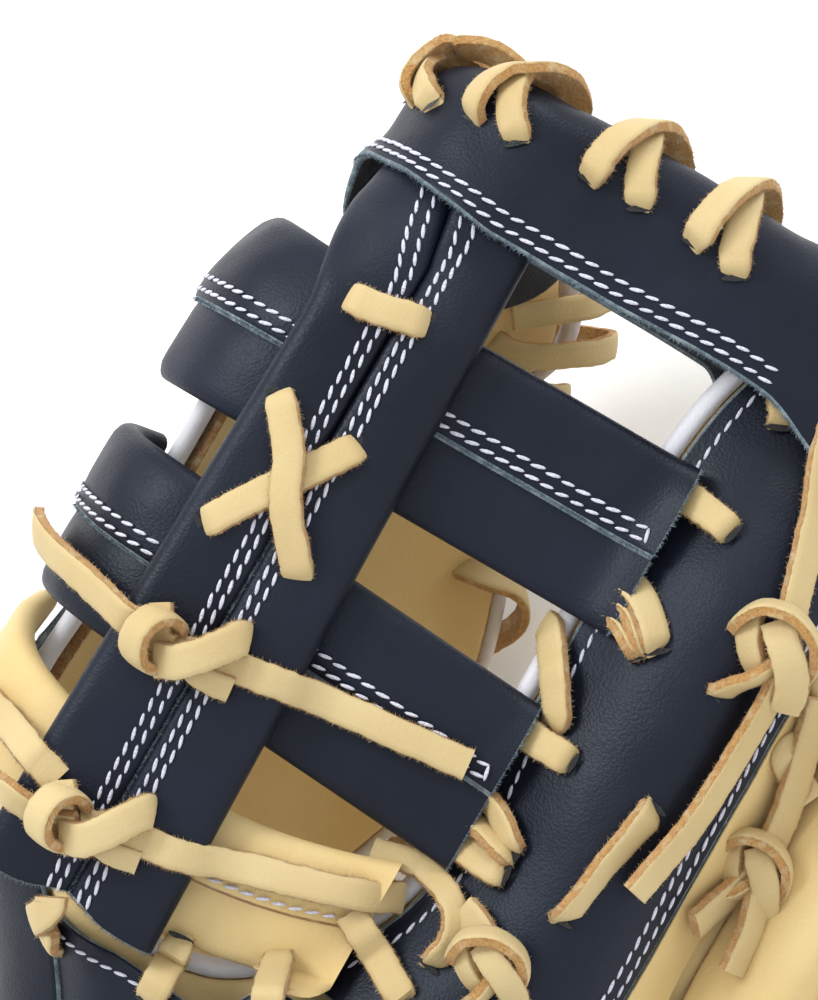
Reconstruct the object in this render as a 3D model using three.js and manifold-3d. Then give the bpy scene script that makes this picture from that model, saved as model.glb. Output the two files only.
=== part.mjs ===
// A first baseman mitt for the right hand, resting palm down on its two rims and its heel.
// Sizes are in millimetres. The mitt is drawn in its web's own frame: x runs across the web to the
// fingers, y runs away from whoever looks at the back of the web, and z runs from heel to fingertips.
import * as THREE from 'three';
import { mergeVertices } from 'three/addons/utils/BufferGeometryUtils.js';
import Module from 'manifold-3d';

const wasm = await Module();
wasm.setup();

// Driving sizes of the whole mitt
const mittLength = 321;
const webWidth = 97;
const thumbReach = 165; // along the leather, from the web's middle to the thumb's rim
const fingerReach = 202; // the same to the little finger's rim
const foldRadius = 22; // the fold between web and thumb
const foldTurn = THREE.MathUtils.degToRad(128);
const thumbCurl = 220;
const fingerCurl = 250;
const fingerFlat = 60; // the web is flat this far out, and the fingers curl beyond it
const lengthBow = 800;
const bowCentre = 10;

// Leather
const gap = 0.4; // between leathers that touch
const wall = 2;
const padEdge = 5.5;
const padMiddle = 8.5;
const pipingRadius = 2.2;
const pipingDepth = 3;
const pipingGap = 0.6;

// Web
const barWidth = 39;
const barThick = 5.6;
const barLift = 3; // above the sheet that the palm lies under
const barFlap = 1.2; // how far the overlapping flap stands proud
const barOverhang = 5; // past the notch on the finger side
const baseWidth = 32;
const postTop = 34;
const postBottom = 42;
const postThick = 5.6;
const postSlit = 1.4;
const railFront = 13.5; // outer face of the rail's front layer above the sheet
const railBack = 4.5;
const railTipBack = 14.4; // the back layer passes behind the palm's tips

// Stalls
const indexWidth = 55;
const navyShare = 0.8; // of the index stall's width
const indexHeight = 17;
const stallHeight = 15;
const thumbHeight = 20;
const thumbLift = 1.2; // the thumb's back stands this far off the sheet round the fold
const handHeight = 24;
const stallBase = -78;
const wristLine = -198;
const tipRound = 34; // length over which a stall comes down to its tip

// Laces
const laceWidth = 6;
const laceThick = 1.8;
const holeGap = 0.6;
const thumbTurns = 7;
const fingerTurns = 11;
const rimInset = 8;

// Rest on the floor
const restRoll = THREE.MathUtils.degToRad(22);
const restTrim = 0.8; // leather pressed flat where it meets the floor

const finish = {
  navy: { color: 0x23262f, roughness: 0.5 },
  tan: { color: 0xe0c88f, roughness: 0.6 },
  lace: { color: 0xe3cb94, roughness: 0.62 },
  piping: { color: 0xeeeef2, roughness: 0.5 },
};

const lerp = THREE.MathUtils.lerp;
const clamp = THREE.MathUtils.clamp;
const smooth = THREE.MathUtils.smoothstep;
const vec = (x, y, z) => new THREE.Vector3(x, y, z);

// A smooth curve through a table's rows: value against key, with slopes from the neighbours.
function through(rows, key, value) {
  const sorted = [...rows].sort((a, b) => a[key] - b[key]);
  const slope = (i) => {
    const a = sorted[Math.max(i - 1, 0)];
    const b = sorted[Math.min(i + 1, sorted.length - 1)];
    return (b[value] - a[value]) / (b[key] - a[key]);
  };
  return (at) => {
    const last = sorted.length - 1;
    const x = clamp(at, sorted[0][key], sorted[last][key]);
    let i = 0;
    while (i < last - 1 && x > sorted[i + 1][key]) i += 1;
    const [a, b] = [sorted[i], sorted[i + 1]];
    const span = b[key] - a[key];
    const t = (x - a[key]) / span;
    const rise = 3 * t * t - 2 * t * t * t;
    return a[value] * (1 - rise) + b[value] * rise
      + span * (slope(i) * t * (1 - t) * (1 - t) - slope(i + 1) * t * t * (1 - t));
  };
}

// The leather sheet
// Where the fold lies at each height: z is a share of mittLength, x of webWidth, radius of foldRadius.
const foldRows = [
  { z: 0.33, x: -0.08, radius: 0.82 },
  { z: 0.25, x: -0.11, radius: 0.86 },
  { z: 0.2, x: -0.2, radius: 0.95 },
  { z: 0.156, x: -0.3, radius: 1 },
  { z: 0.11, x: -0.33, radius: 1 },
  { z: -0.125, x: -0.33, radius: 1 },
  { z: -0.206, x: -0.305, radius: 1 },
  { z: -0.243, x: -0.215, radius: 1 },
  { z: -0.28, x: -0.1, radius: 1.02 },
  { z: -0.327, x: 0.02, radius: 1.05 },
  { z: -0.405, x: 0.17, radius: 1.12 },
  { z: -0.53, x: 0.4, radius: 1.24 },
  { z: -0.67, x: 0.53, radius: 1.36 },
];
const foldX = through(foldRows, 'z', 'x');
const foldR = through(foldRows, 'z', 'radius');

function foldAt(z) {
  const radius = foldR(z / mittLength) * foldRadius;
  return { radius, start: foldX(z / mittLength) * webWidth + radius };
}

// A point of the bare sheet: u is the distance along the leather across the mitt.
function bare(u, z) {
  const { radius, start } = foldAt(z);
  const bow = (z - bowCentre) ** 2 / (2 * lengthBow);
  if (u >= start) {
    const turn = Math.max(u - fingerFlat, 0) / fingerCurl;
    const flat = Math.min(u, fingerFlat);
    return vec(flat + fingerCurl * Math.sin(turn), fingerCurl * (1 - Math.cos(turn)) + bow, z);
  }
  const turn = Math.min((start - u) / radius, foldTurn);
  const point = vec(start - radius * Math.sin(turn), radius * (1 - Math.cos(turn)) + bow, z);
  const rest = start - u - radius * foldTurn;
  if (rest > 0) {
    const end = foldTurn + rest / thumbCurl;
    point.x += thumbCurl * (Math.sin(foldTurn) - Math.sin(end));
    point.y += thumbCurl * (Math.cos(foldTurn) - Math.cos(end));
  }
  return point;
}

const probe = 0.5;
const around = [[0, 0], [1, 0], [-1, 0], [0, 1], [0, -1], [0.7, 0.7], [-0.7, 0.7], [0.7, -0.7], [-0.7, -0.7]];

// The highest value of a surface within a reach of a place.
const highest = (surface, u, z, reach) => Math.max(
  ...around.map(([du, dz]) => surface(u + du * reach, z + dz * reach)),
);

// The sheet's outward normal, away from the pocket.
function outward(u, z) {
  const across = bare(u + probe, z).sub(bare(u - probe, z));
  const along = bare(u, z + probe).sub(bare(u, z - probe));
  return across.cross(along).normalize();
}

function sheet(u, z, lift = 0) {
  return bare(u, z).addScaledVector(outward(u, z), lift);
}

// Palm outline, from the thumb's tip round the crotch to the index finger's tip. The notch's u is a
// share of webWidth, the rim's u of thumbReach or fingerReach, and both z of mittLength.
const outlineRows = [
  { notchU: -0.42, notchZ: 0.245, rimU: -0.45, rimZ: 0.25 },
  { notchU: -0.53, notchZ: 0.187, rimU: -0.66, rimZ: 0.193 },
  { notchU: -0.61, notchZ: 0.062, rimU: -0.94, rimZ: 0.037 },
  { notchU: -0.6, notchZ: -0.062, rimU: -0.98, rimZ: -0.14 },
  { notchU: -0.49, notchZ: -0.16, rimU: -0.69, rimZ: -0.312 },
  { notchU: -0.28, notchZ: -0.228, rimU: -0.3, rimZ: -0.483 },
  { notchU: -0.07, notchZ: -0.274, rimU: -0.08, rimZ: -0.61 },
  { notchU: 0.15, notchZ: -0.284, rimU: 0.27, rimZ: -0.655 },
  { notchU: 0.38, notchZ: -0.274, rimU: 0.58, rimZ: -0.62 },
  { notchU: 0.58, notchZ: -0.212, rimU: 0.81, rimZ: -0.5 },
  { notchU: 0.67, notchZ: -0.137, rimU: 0.94, rimZ: -0.312 },
  { notchU: 0.66, notchZ: -0.016, rimU: 1, rimZ: -0.109 },
  { notchU: 0.66, notchZ: 0.109, rimU: 0.99, rimZ: 0.093 },
  { notchU: 0.69, notchZ: 0.212, rimU: 0.91, rimZ: 0.224 },
  { notchU: 0.75, notchZ: 0.262, rimU: 0.76, rimZ: 0.283 },
  { notchU: 0.81, notchZ: 0.288, rimU: 0.56, rimZ: 0.302 },
];
const rimU = (share) => share * (share < 0 ? thumbReach : fingerReach);
const lastRow = outlineRows.length - 1;
const notchCurve = new THREE.CatmullRomCurve3(
  outlineRows.map((r) => vec(r.notchU * webWidth, r.notchZ * mittLength, 0)),
);
const rimCurve = new THREE.CatmullRomCurve3(
  outlineRows.map((r) => vec(rimU(r.rimU), r.rimZ * mittLength, 0)),
);
const outlineSteps = 240;

// Where an outline curve crosses a height, on the stretch between two of its rows.
function crossing(curve, z, fromRow, toRow) {
  const [from, to] = [fromRow / lastRow, toRow / lastRow];
  let best = curve.getPoint(from);
  for (let i = 1; i <= outlineSteps; i += 1) {
    const point = curve.getPoint(lerp(from, to, i / outlineSteps));
    if (Math.abs(point.y - z) < Math.abs(best.y - z)) best = point;
  }
  return best.x;
}

const thumbRows = [0, 7];
const fingerRows = [7, lastRow];
const thumbNotch = (z) => crossing(notchCurve, z, ...thumbRows);
const thumbRim = (z) => crossing(rimCurve, z, ...thumbRows);
const fingerNotch = (z) => crossing(notchCurve, z, ...fingerRows);
const fingerRim = (z) => crossing(rimCurve, z, ...fingerRows);
const crotch = notchCurve.getPoint(thumbRows[1] / lastRow);
const seamTurn = 0.8; // where thumb and hand backs meet, as a turn round the fold
const seam = (z) => foldAt(z).start - foldAt(z).radius * seamTurn;

// Solids
function geometryOf(points, faces) {
  const geometry = new THREE.BufferGeometry();
  geometry.setAttribute('position', new THREE.Float32BufferAttribute(points.flatMap((p) => [p.x, p.y, p.z]), 3));
  geometry.setIndex(faces.flat());
  return geometry;
}

function solidOf(geometry) {
  const merged = geometry.clone();
  merged.deleteAttribute('normal');
  merged.deleteAttribute('uv');
  const whole = mergeVertices(merged, 1e-4);
  const vertProperties = new Float32Array(whole.attributes.position.array);
  const triVerts = new Uint32Array(whole.index.array);
  const made = new wasm.Manifold(new wasm.Mesh({ numProp: 3, vertProperties, triVerts }));
  if (made.volume() > 0) return made;
  for (let i = 0; i < triVerts.length; i += 3) {
    [triVerts[i + 1], triVerts[i + 2]] = [triVerts[i + 2], triVerts[i + 1]];
  }
  return new wasm.Manifold(new wasm.Mesh({ numProp: 3, vertProperties, triVerts }));
}

function geometryFrom(solid) {
  const mesh = solid.getMesh();
  const positions = new Float32Array(mesh.numVert * 3);
  for (let i = 0; i < mesh.numVert; i += 1) {
    positions.set(mesh.vertProperties.subarray(i * mesh.numProp, i * mesh.numProp + 3), i * 3);
  }
  const geometry = new THREE.BufferGeometry();
  geometry.setAttribute('position', new THREE.BufferAttribute(positions, 3));
  geometry.setIndex(new THREE.BufferAttribute(new Uint32Array(mesh.triVerts), 1));
  geometry.computeVertexNormals();
  return geometry;
}

// A wall between two grids of points: place(i, j, side) with i and j from 0 to 1.
function gridWall(across, along, place) {
  const points = [];
  const faces = [];
  const index = (i, j, side) => (side * (along + 1) + j) * (across + 1) + i;
  for (const side of [0, 1]) {
    for (let j = 0; j <= along; j += 1) {
      for (let i = 0; i <= across; i += 1) points.push(place(i / across, j / along, side));
    }
  }
  const quad = (a, b, c, d) => faces.push([a, b, c], [a, c, d]);
  for (let j = 0; j < along; j += 1) {
    for (let i = 0; i < across; i += 1) {
      quad(index(i, j, 0), index(i + 1, j, 0), index(i + 1, j + 1, 0), index(i, j + 1, 0));
      quad(index(i, j + 1, 1), index(i + 1, j + 1, 1), index(i + 1, j, 1), index(i, j, 1));
    }
  }
  for (let i = 0; i < across; i += 1) {
    quad(index(i + 1, 0, 0), index(i, 0, 0), index(i, 0, 1), index(i + 1, 0, 1));
    quad(index(i, along, 0), index(i + 1, along, 0), index(i + 1, along, 1), index(i, along, 1));
  }
  for (let j = 0; j < along; j += 1) {
    quad(index(0, j, 0), index(0, j + 1, 0), index(0, j + 1, 1), index(0, j, 1));
    quad(index(across, j + 1, 0), index(across, j, 0), index(across, j, 1), index(across, j + 1, 1));
  }
  return solidOf(geometryOf(points, faces));
}

// A closed bar through rings of points that all have the same count.
function loft(rings, capped = true) {
  const count = rings[0].length;
  const points = rings.flat();
  const faces = [];
  for (let r = 0; r + 1 < rings.length; r += 1) {
    for (let k = 0; k < count; k += 1) {
      const [a, b] = [r * count + k, r * count + ((k + 1) % count)];
      faces.push([a, b, b + count], [a, b + count, a + count]);
    }
  }
  if (capped) {
    const flat = rings[0].map((p, k) => new THREE.Vector2(...ringPlane(rings[0], k)));
    const cap = THREE.ShapeUtils.triangulateShape(flat, []);
    const end = (rings.length - 1) * count;
    for (const [a, b, c] of cap) faces.push([c, b, a], [end + a, end + b, end + c]);
  }
  return solidOf(geometryOf(points, faces));
}

// A ring's point in the ring's own plane, for its end cap.
function ringPlane(ring, k) {
  const centre = ring.reduce((sum, p) => sum.add(p), vec(0, 0, 0)).divideScalar(ring.length);
  const normal = vec(0, 0, 0);
  ring.forEach((p, i) => {
    const next = ring[(i + 1) % ring.length];
    normal.add(p.clone().sub(centre).cross(next.clone().sub(centre)));
  });
  normal.normalize();
  const right = ring[0].clone().sub(centre).projectOnPlane(normal).normalize();
  const up = normal.clone().cross(right);
  const from = ring[k].clone().sub(centre);
  return [from.dot(right), from.dot(up)];
}

// A folded band of leather: an outer and an inner loop at each step, open at both ends.
function sleeve(outer, inner) {
  const count = outer[0].length;
  const points = [...outer.flat(), ...inner.flat()];
  const shift = outer.flat().length;
  const last = (outer.length - 1) * count;
  const faces = [];
  for (let r = 0; r + 1 < outer.length; r += 1) {
    for (let k = 0; k < count; k += 1) {
      const [a, b] = [r * count + k, r * count + ((k + 1) % count)];
      faces.push([a, b, b + count], [a, b + count, a + count]);
      faces.push([shift + a, shift + b + count, shift + b], [shift + a, shift + a + count, shift + b + count]);
    }
  }
  for (let k = 0; k < count; k += 1) {
    const next = (k + 1) % count;
    faces.push([k, shift + next, next], [k, shift + k, shift + next]);
    faces.push([last + k, last + next, shift + last + next], [last + k, shift + last + next, shift + last + k]);
  }
  return solidOf(geometryOf(points, faces));
}

// A flat strap along points, each with the direction that its width runs in.
function strap(points, sides, width = laceWidth, thick = laceThick) {
  const rings = points.map((point, i) => {
    const before = points[Math.max(i - 1, 0)];
    const after = points[Math.min(i + 1, points.length - 1)];
    const along = after.clone().sub(before).normalize();
    const side = sides[i].clone().projectOnPlane(along).normalize().multiplyScalar(width / 2);
    const up = side.clone().cross(along).normalize().multiplyScalar(thick / 2);
    return [[-1, -1], [1, -1], [1, 1], [-1, 1]].map(
      ([s, t]) => point.clone().addScaledVector(side, s).addScaledVector(up, t),
    );
  });
  return loft(rings);
}

// A round tube along spots of the sheet, each with its u, z and lift.
function tube(spots, radius, sides) {
  const points = spots.map(({ u, z, lift }) => sheet(u, z, lift));
  return loft(points.map((point, i) => {
    const before = points[Math.max(i - 1, 0)];
    const along = points[Math.min(i + 1, points.length - 1)].clone().sub(before).normalize();
    const up = outward(spots[i].u, spots[i].z).projectOnPlane(along).normalize();
    const side = along.clone().cross(up);
    return Array.from({ length: sides }, (_, k) => {
      const angle = (k / sides) * 2 * Math.PI;
      return point.clone().addScaledVector(up, radius * Math.cos(angle)).addScaledVector(side, radius * Math.sin(angle));
    });
  }));
}

const pieces = [];
const add = (name, look, solid) => pieces.push({ name, look, solid });

// Back pieces: height of their hollow above the palm
const archPower = 1.15;

function archHeight(w, left, right, middle) {
  const foot = lerp(left, right, w);
  return foot + (middle - foot) * Math.sin(Math.PI * clamp(w, 0, 1)) ** archPower;
}

// How far a stall's top has come up at a distance from its tip, from 0 to 1.
function tipRise(distance, length = tipRound) {
  const t = 1 - clamp(distance / length, 0, 1);
  return Math.sqrt(1 - t * t);
}

const joinStart = -35; // the stalls' hollows run together from here to the hand
const joinHeight = 13;
const stallJoin = (z) => joinHeight * (1 - smooth(z, stallBase, joinStart));
const wristJoin = (z) => joinHeight * 1.4 * (1 - smooth(z, wristLine, stallBase - joinHeight * 3));

// Stall edges along the fingers: left and right are shares of fingerReach, tip of mittLength.
const stallGap = 0.6;
const indexTip = 0.3;
const stallRows = [
  { name: 'middle_back', left: 0.605, right: 0.745, tip: 0.287 },
  { name: 'ring_back', left: 0.748, right: 0.872, tip: 0.246 },
  { name: 'little_back', left: 0.875, right: 0.995, tip: 0.195 },
];
const indexLeft = (z) => fingerNotch(z) + stallGap;
const indexRight = (z) => Math.min(indexLeft(Math.max(z, 0)) + indexWidth, stallRows[0].left * fingerReach - stallGap);

function indexHollow(u, z) {
  const [left, right] = [indexLeft(z), indexRight(z)];
  const under = lerp(indexHeight, railFront - wall * 3, smooth(z, 30, railLow(left)));
  const middle = under * tipRise(indexTip * mittLength - z);
  return archHeight((u - left) / (right - left), 0, stallJoin(z), middle);
}

// The outer face of the index stall, which laces lie on.
const indexTop = (u, z) => gap + wall + indexHollow(u, z);

function indexPiece(from, to, across) {
  const top = indexTip * mittLength;
  return gridWall(across, 13, (i, j, side) => {
    const z = lerp(top, stallBase, j);
    const u = lerp(indexLeft(z), indexRight(z), lerp(from, to, i));
    return sheet(u, z, gap + indexHollow(u, z) + (side ? 0 : wall));
  });
}

function stallPiece({ left, right, tip }) {
  const top = tip * mittLength;
  return gridWall(6, 9, (i, j, side) => {
    const z = lerp(top, stallBase, j);
    const edge = Math.min(right * fingerReach, fingerRim(z) - stallGap) - stallGap / 2;
    const u = lerp(left * fingerReach + stallGap / 2, edge, i);
    const outerFoot = right > 0.9 ? 0 : stallJoin(z);
    const height = archHeight(i, stallJoin(z), outerFoot, stallHeight * tipRise(top - z));
    return sheet(u, z, gap + height + (side ? 0 : wall));
  });
}

function thumbHollow(w, z) {
  const top = outlineRows[0].rimZ * mittLength;
  const full = lerp(thumbHeight, railFront - wall * 3, smooth(z, 20, railLow(railStart)));
  return archHeight(w, wristJoin(z), 0, full * tipRise(top - z));
}

const thumbInner = (z) => (z > crotch.y + 6 ? thumbNotch(z) - stallGap : seam(z) - stallGap);
const thumbOuter = (z) => thumbRim(z) + stallGap;
const handLeft = (z) => seam(z) + stallGap;
const handRight = (z) => fingerRim(z) - stallGap;

function handHollow(w, z) {
  const grown = smooth(z, crotch.y + 4, stallBase - 40);
  return archHeight(w, wristJoin(z), 0, lerp(handHeight, stallHeight, grown));
}

// The outer face of the leather backs beside and below the web; none lies in the notch itself.
function backTop(u, z) {
  const none = -pipingDepth + pipingRadius;
  if (z > crotch.y - stallGap) {
    if (u < thumbInner(z)) return thumbLift + wall + thumbHollow((u - thumbInner(z)) / (thumbOuter(z) - thumbInner(z)), z);
    if (u < indexLeft(z)) return none;
    if (z > stallBase && u < indexRight(z)) return indexTop(u, z);
    const stall = stallRows.find((row) => u < row.right * fingerReach);
    if (z > stallBase && stall) {
      const w = (u / fingerReach - stall.left) / (stall.right - stall.left);
      const rise = stallHeight * tipRise(stall.tip * mittLength - z);
      return gap + wall + archHeight(w, stallJoin(z), stallJoin(z), rise);
    }
  }
  return gap + wall + handHollow((u - handLeft(z)) / (handRight(z) - handLeft(z)), z);
}

// Rail, folded over the top of the web. Lengths along it are u.
const railRows = [
  { u: -0.7, top: 0.275, low: 0.205 },
  { u: -0.36, top: 0.3, low: 0.215 },
  { u: -0.1, top: 0.327, low: 0.228 },
  { u: 0.35, top: 0.335, low: 0.229 },
  { u: 0.74, top: 0.338, low: 0.229 },
  { u: 0.91, top: 0.339, low: 0.208 },
  { u: 1.05, top: 0.339, low: 0.2 },
  { u: 1.22, top: 0.332, low: 0.245 },
];
const railTopShare = through(railRows, 'u', 'top');
const railLowShare = through(railRows, 'u', 'low');
const railTop = (u) => railTopShare(u / webWidth) * mittLength;
const railLow = (u) => railLowShare(u / webWidth) * mittLength;
const railStart = railRows[0].u * webWidth;
const railEnd = railRows[railRows.length - 1].u * webWidth;
const railBackDrop = 9; // the back layer is this much longer than the front over the thumb and the tips
const railBackShort = 1.5; // and this much shorter over the web's window

function railDrop(u) {
  const window = smooth(u, -foldRadius * 2, -foldRadius * 0.7) * (1 - smooth(u, fingerFlat, fingerFlat * 1.25));
  return lerp(railBackDrop, -railBackShort, window);
}

function railBackAt(u) {
  const tips = smooth(u, fingerFlat / 2, fingerFlat + 6) + 1 - smooth(u, -foldRadius * 2, -foldRadius * 0.9);
  return lerp(railBack, railTipBack, clamp(tips, 0, 1));
}

// A point on the rail's outer face: q runs from 0 at the front's lower edge, over the top at 0.5,
// to 1 at the back's lower edge.
function railPoint(u, q, lift = 0) {
  const [top, low] = [railTop(u), railLow(u)];
  const half = (railFront + railBackAt(u)) / 2;
  const centre = (railFront - railBackAt(u)) / 2;
  const shoulder = top - half;
  const turnShare = 0.16;
  if (q < 0.5 - turnShare) {
    return sheet(u, lerp(low, shoulder, q / (0.5 - turnShare)), railFront + lift);
  }
  if (q > 0.5 + turnShare) {
    const share = (q - 0.5 - turnShare) / (0.5 - turnShare);
    return sheet(u, lerp(shoulder, low - railDrop(u), share), -railBackAt(u) - lift);
  }
  const angle = ((q - 0.5 + turnShare) / (2 * turnShare)) * Math.PI;
  return sheet(u, shoulder + (half + lift) * Math.sin(angle), centre + (half + lift) * Math.cos(angle));
}

function railPiece() {
  return gridWall(9, 18, (i, j, side) => {
    const u = lerp(railStart, railEnd, j);
    return railPoint(u, i, side ? -wall : 0);
  });
}

// Bars of the web. Rows give the middle's z as a share of mittLength, and its rise towards the fingers.
// sag lifts the bar's ends above its middle.
const bars = {
  upper_bar: { look: 'navy', z: 0.108, rise: 0, sag: 0, width: barWidth, right: 0.66 * webWidth + barOverhang },
  lower_bar: { look: 'navy', z: -0.062, rise: -0.07, sag: 0, width: barWidth, right: 0.645 * webWidth },
  base_bar: { look: 'tan', z: -0.222, rise: 0, sag: 14, width: baseWidth, right: 0.585 * webWidth },
};
const barMiddle = webWidth / 8;
const barHalf = webWidth * 0.58;
const barZ = ({ z, rise, sag }, u) => z * mittLength + rise * (u - barMiddle)
  + sag * ((u - barMiddle) / barHalf) ** 2;

// The lowest height above the sheet that clears the piping and the edges of the backs.
const clearOf = (u, z) => Math.max(barLift, highest(backTop, u, z, laceWidth / 3) + gap);

// Section of a folded band, as shares of its width and of its thickness, with the flap's step.
const bandRows = [
  { across: -0.5, up: 0.5 },
  { across: -0.46, up: 0.08 },
  { across: -0.2, up: 0 },
  { across: 0.2, up: 0 },
  { across: 0.46, up: 0.08 },
  { across: 0.5, up: 0.5 },
  { across: 0.46, up: 0.92 },
  { across: 0.25, up: 1 },
];

const barSteps = 10;
const postSteps = 12;

function barPiece(bar) {
  const { width, right } = bar;
  const flapRows = [{ across: 0, up: 1 }, { across: -0.02, up: 1, drop: 1 }, { across: -0.3, up: 1, drop: 1 },
    { across: -0.46, up: 0.85, drop: 0.6 }];
  const outline = [...bandRows, ...flapRows];
  const build = (inset) => Array.from({ length: barSteps + 1 }, (_, s) => {
    return outline.map(({ across, up, drop = 0 }) => {
      const shift = across * (width - 2 * inset);
      const left = thumbNotch(barZ(bar, -foldRadius * 2) + shift) - gap;
      const u = lerp(left, right, s / barSteps);
      const z = barZ(bar, u) + shift;
      const base = clearOf(u, z);
      const thick = barThick - 2 * inset;
      return sheet(u, z, base + inset + up * thick - (inset ? 0 : drop * barFlap));
    });
  });
  return sleeve(build(0), build(wall));
}

// Post: a folded band whose two edges meet in a slit down its face.
const postHigh = 0.262 * mittLength;
const postLow = -0.271 * mittLength;
const postLift = barLift + barThick + 6 * gap;
const postTuck = railFront - wall - 4 * gap - postThick;
const tuckSpan = { from: 26, to: 4 }; // below the rail's lower edge
const postBase = (z) => lerp(postLift, postTuck, smooth(z, railLow(0) - tuckSpan.from, railLow(0) - tuckSpan.to));
const postTopAt = (z) => postBase(z) + postThick;
const postWidthAt = (z) => lerp(postBottom, postTop, (z - postLow) / (postHigh - postLow));

// The post lies flat across the start of the fold. A place over the post is straight above the web's
// plane, and beside it, below it and under the rail it follows the sheet again.
const overSpan = { beside: 14, below: 6, above: 34 }; // lengths over which it comes back to the sheet

function over(u, z, lift) {
  const { start } = foldAt(z);
  const bent = sheet(u, z, lift);
  if (u >= start) return bent;
  const half = postWidthAt(z) / 2 + gap;
  const beside = smooth(-u, half, half + overSpan.beside);
  const below = 1 - smooth(z, postLow - overSpan.below, postLow);
  const above = smooth(z, railLow(0) - overSpan.above, railLow(0) - tuckSpan.to);
  return sheet(start, z, lift).setX(u).lerp(bent, Math.max(beside, below, above));
}

const overOutward = (u, z) => over(u, z, 1).sub(over(u, z, 0)).normalize();

function postPiece() {
  const slitRows = [{ across: 0.03, up: 0.96 }, { across: 0, up: 0.96, slit: 1 }, { across: -0.03, up: 0.96 }];
  const outline = [...bandRows.slice(0, 7), { across: 0.2, up: 1 }, ...slitRows, { across: -0.2, up: 1 },
    { across: -0.46, up: 0.92 }];
  const build = (inset) => Array.from({ length: postSteps + 1 }, (_, s) => {
    const share = (s / postSteps) ** 1.3;
    const z = lerp(postLow, postHigh, share);
    const width = postWidthAt(z) - 2 * inset;
    return outline.map(({ across, up, slit = 0 }) => {
      const thick = postThick - 2 * inset;
      return over(width * across, z, postBase(z) + inset + up * thick - (inset ? 0 : slit * postSlit));
    });
  });
  return sleeve(build(0), build(wall));
}

// Piping along an edge of the palm, just outside it and in step with the palm's own rows
const palmSteps = 3; // for each row of the outline

function piping(curve, other, fromRow, toRow) {
  const count = (toRow - fromRow) * palmSteps;
  const spots = Array.from({ length: count + 1 }, (_, k) => {
    const s = lerp(fromRow, toRow, k / count) / lastRow;
    const edge = curve.getPoint(s);
    const along = curve.getTangent(s);
    const away = vec(-along.y, along.x, 0);
    if (away.dot(edge.clone().sub(other.getPoint(s))) < 0) away.negate();
    edge.addScaledVector(away, pipingRadius + pipingGap);
    return { u: edge.x, z: edge.y, lift: -pipingDepth };
  });
  return tube(spots, pipingRadius, 5);
}

function palmPiece() {
  return gridWall(5, lastRow * palmSteps, (i, j, side) => {
    const point = notchCurve.getPoint(j).lerp(rimCurve.getPoint(j), i);
    const pad = lerp(padEdge, padMiddle, Math.sin(Math.PI * i));
    return sheet(point.x, point.y, -gap / 2 - (side ? pad : 0));
  });
}

function thumbPiece() {
  const top = outlineRows[0].rimZ * mittLength - gap;
  return gridWall(10, 18, (step, j, side) => {
    const i = step ** 1.2;
    const z = lerp(top, wristLine, j);
    const u = lerp(thumbInner(z), thumbOuter(z), i);
    return sheet(u, z, thumbLift + thumbHollow(i, z) + (side ? 0 : wall));
  });
}

// The top edge of the hand's back runs just below the crotch and then below the stalls.
function handTop(w) {
  const line = stallBase - 2 * stallGap;
  const u = lerp(handLeft(crotch.y), handRight(line), w);
  const below = crotch.y - 2 * stallGap;
  return lerp(below, line, smooth(u, crotch.x + 20, crotch.x + 42));
}

function handSurface(w, z, lift) {
  const u = lerp(handLeft(z), handRight(z), w);
  return sheet(u, z, gap + handHollow(w, z) + lift);
}

function handPiece() {
  return gridWall(16, 8, (i, j, side) => handSurface(i, lerp(handTop(i), wristLine, j), side ? 0 : wall));
}

const strapWidth = 26;
const strapRise = 12; // above the wrist's edge

function wristStrapPiece() {
  return gridWall(10, 2, (i, j, side) => {
    const z = wristLine + strapRise + strapWidth * j;
    return handSurface(lerp(0.14, 0.86, i), z, wall + 4 * gap + (side ? 0 : wall));
  });
}

// The outer face of whatever is on top at a place of the web.
function topAt(u, z) {
  let top = backTop(u, z);
  for (const bar of Object.values(bars)) {
    const inside = Math.abs(z - barZ(bar, u)) < bar.width / 2 + 1 && u < bar.right + 1 && u > thumbNotch(z) - 1;
    if (inside) top = Math.max(top, clearOf(u, z) + barThick);
  }
  const share = (z - postLow) / (postHigh - postLow);
  const half = postWidthAt(z) / 2 + 1;
  if (share > -0.01 && share < 1 && Math.abs(u) < half) top = Math.max(top, postTopAt(z));
  return top;
}

const topNear = (u, z) => highest(topAt, u, z, laceWidth / 2 + gap);

// A lace over whatever lies below it. Rows give u as a share of webWidth, z of mittLength, and the
// lift in millimetres above what it lies on.
function layLace(rows, steps = rows.length * 2) {
  const route = new THREE.CatmullRomCurve3(rows.map(([u, z, lift = 0]) => vec(u * webWidth, z * mittLength, lift)));
  const spots = route.getPoints(steps);
  const points = spots.map(({ x, y, z }) => over(x, y, topNear(x, y) + gap + laceThick / 2 + z));
  const sides = points.map((point, i) => {
    const along = points[Math.min(i + 1, steps)].clone().sub(points[Math.max(i - 1, 0)]);
    return along.cross(overOutward(spots[i].x, spots[i].y)).normalize();
  });
  return strap(points, sides);
}

const join = (...solids) => solids.reduce((a, b) => a.add(b));

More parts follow.
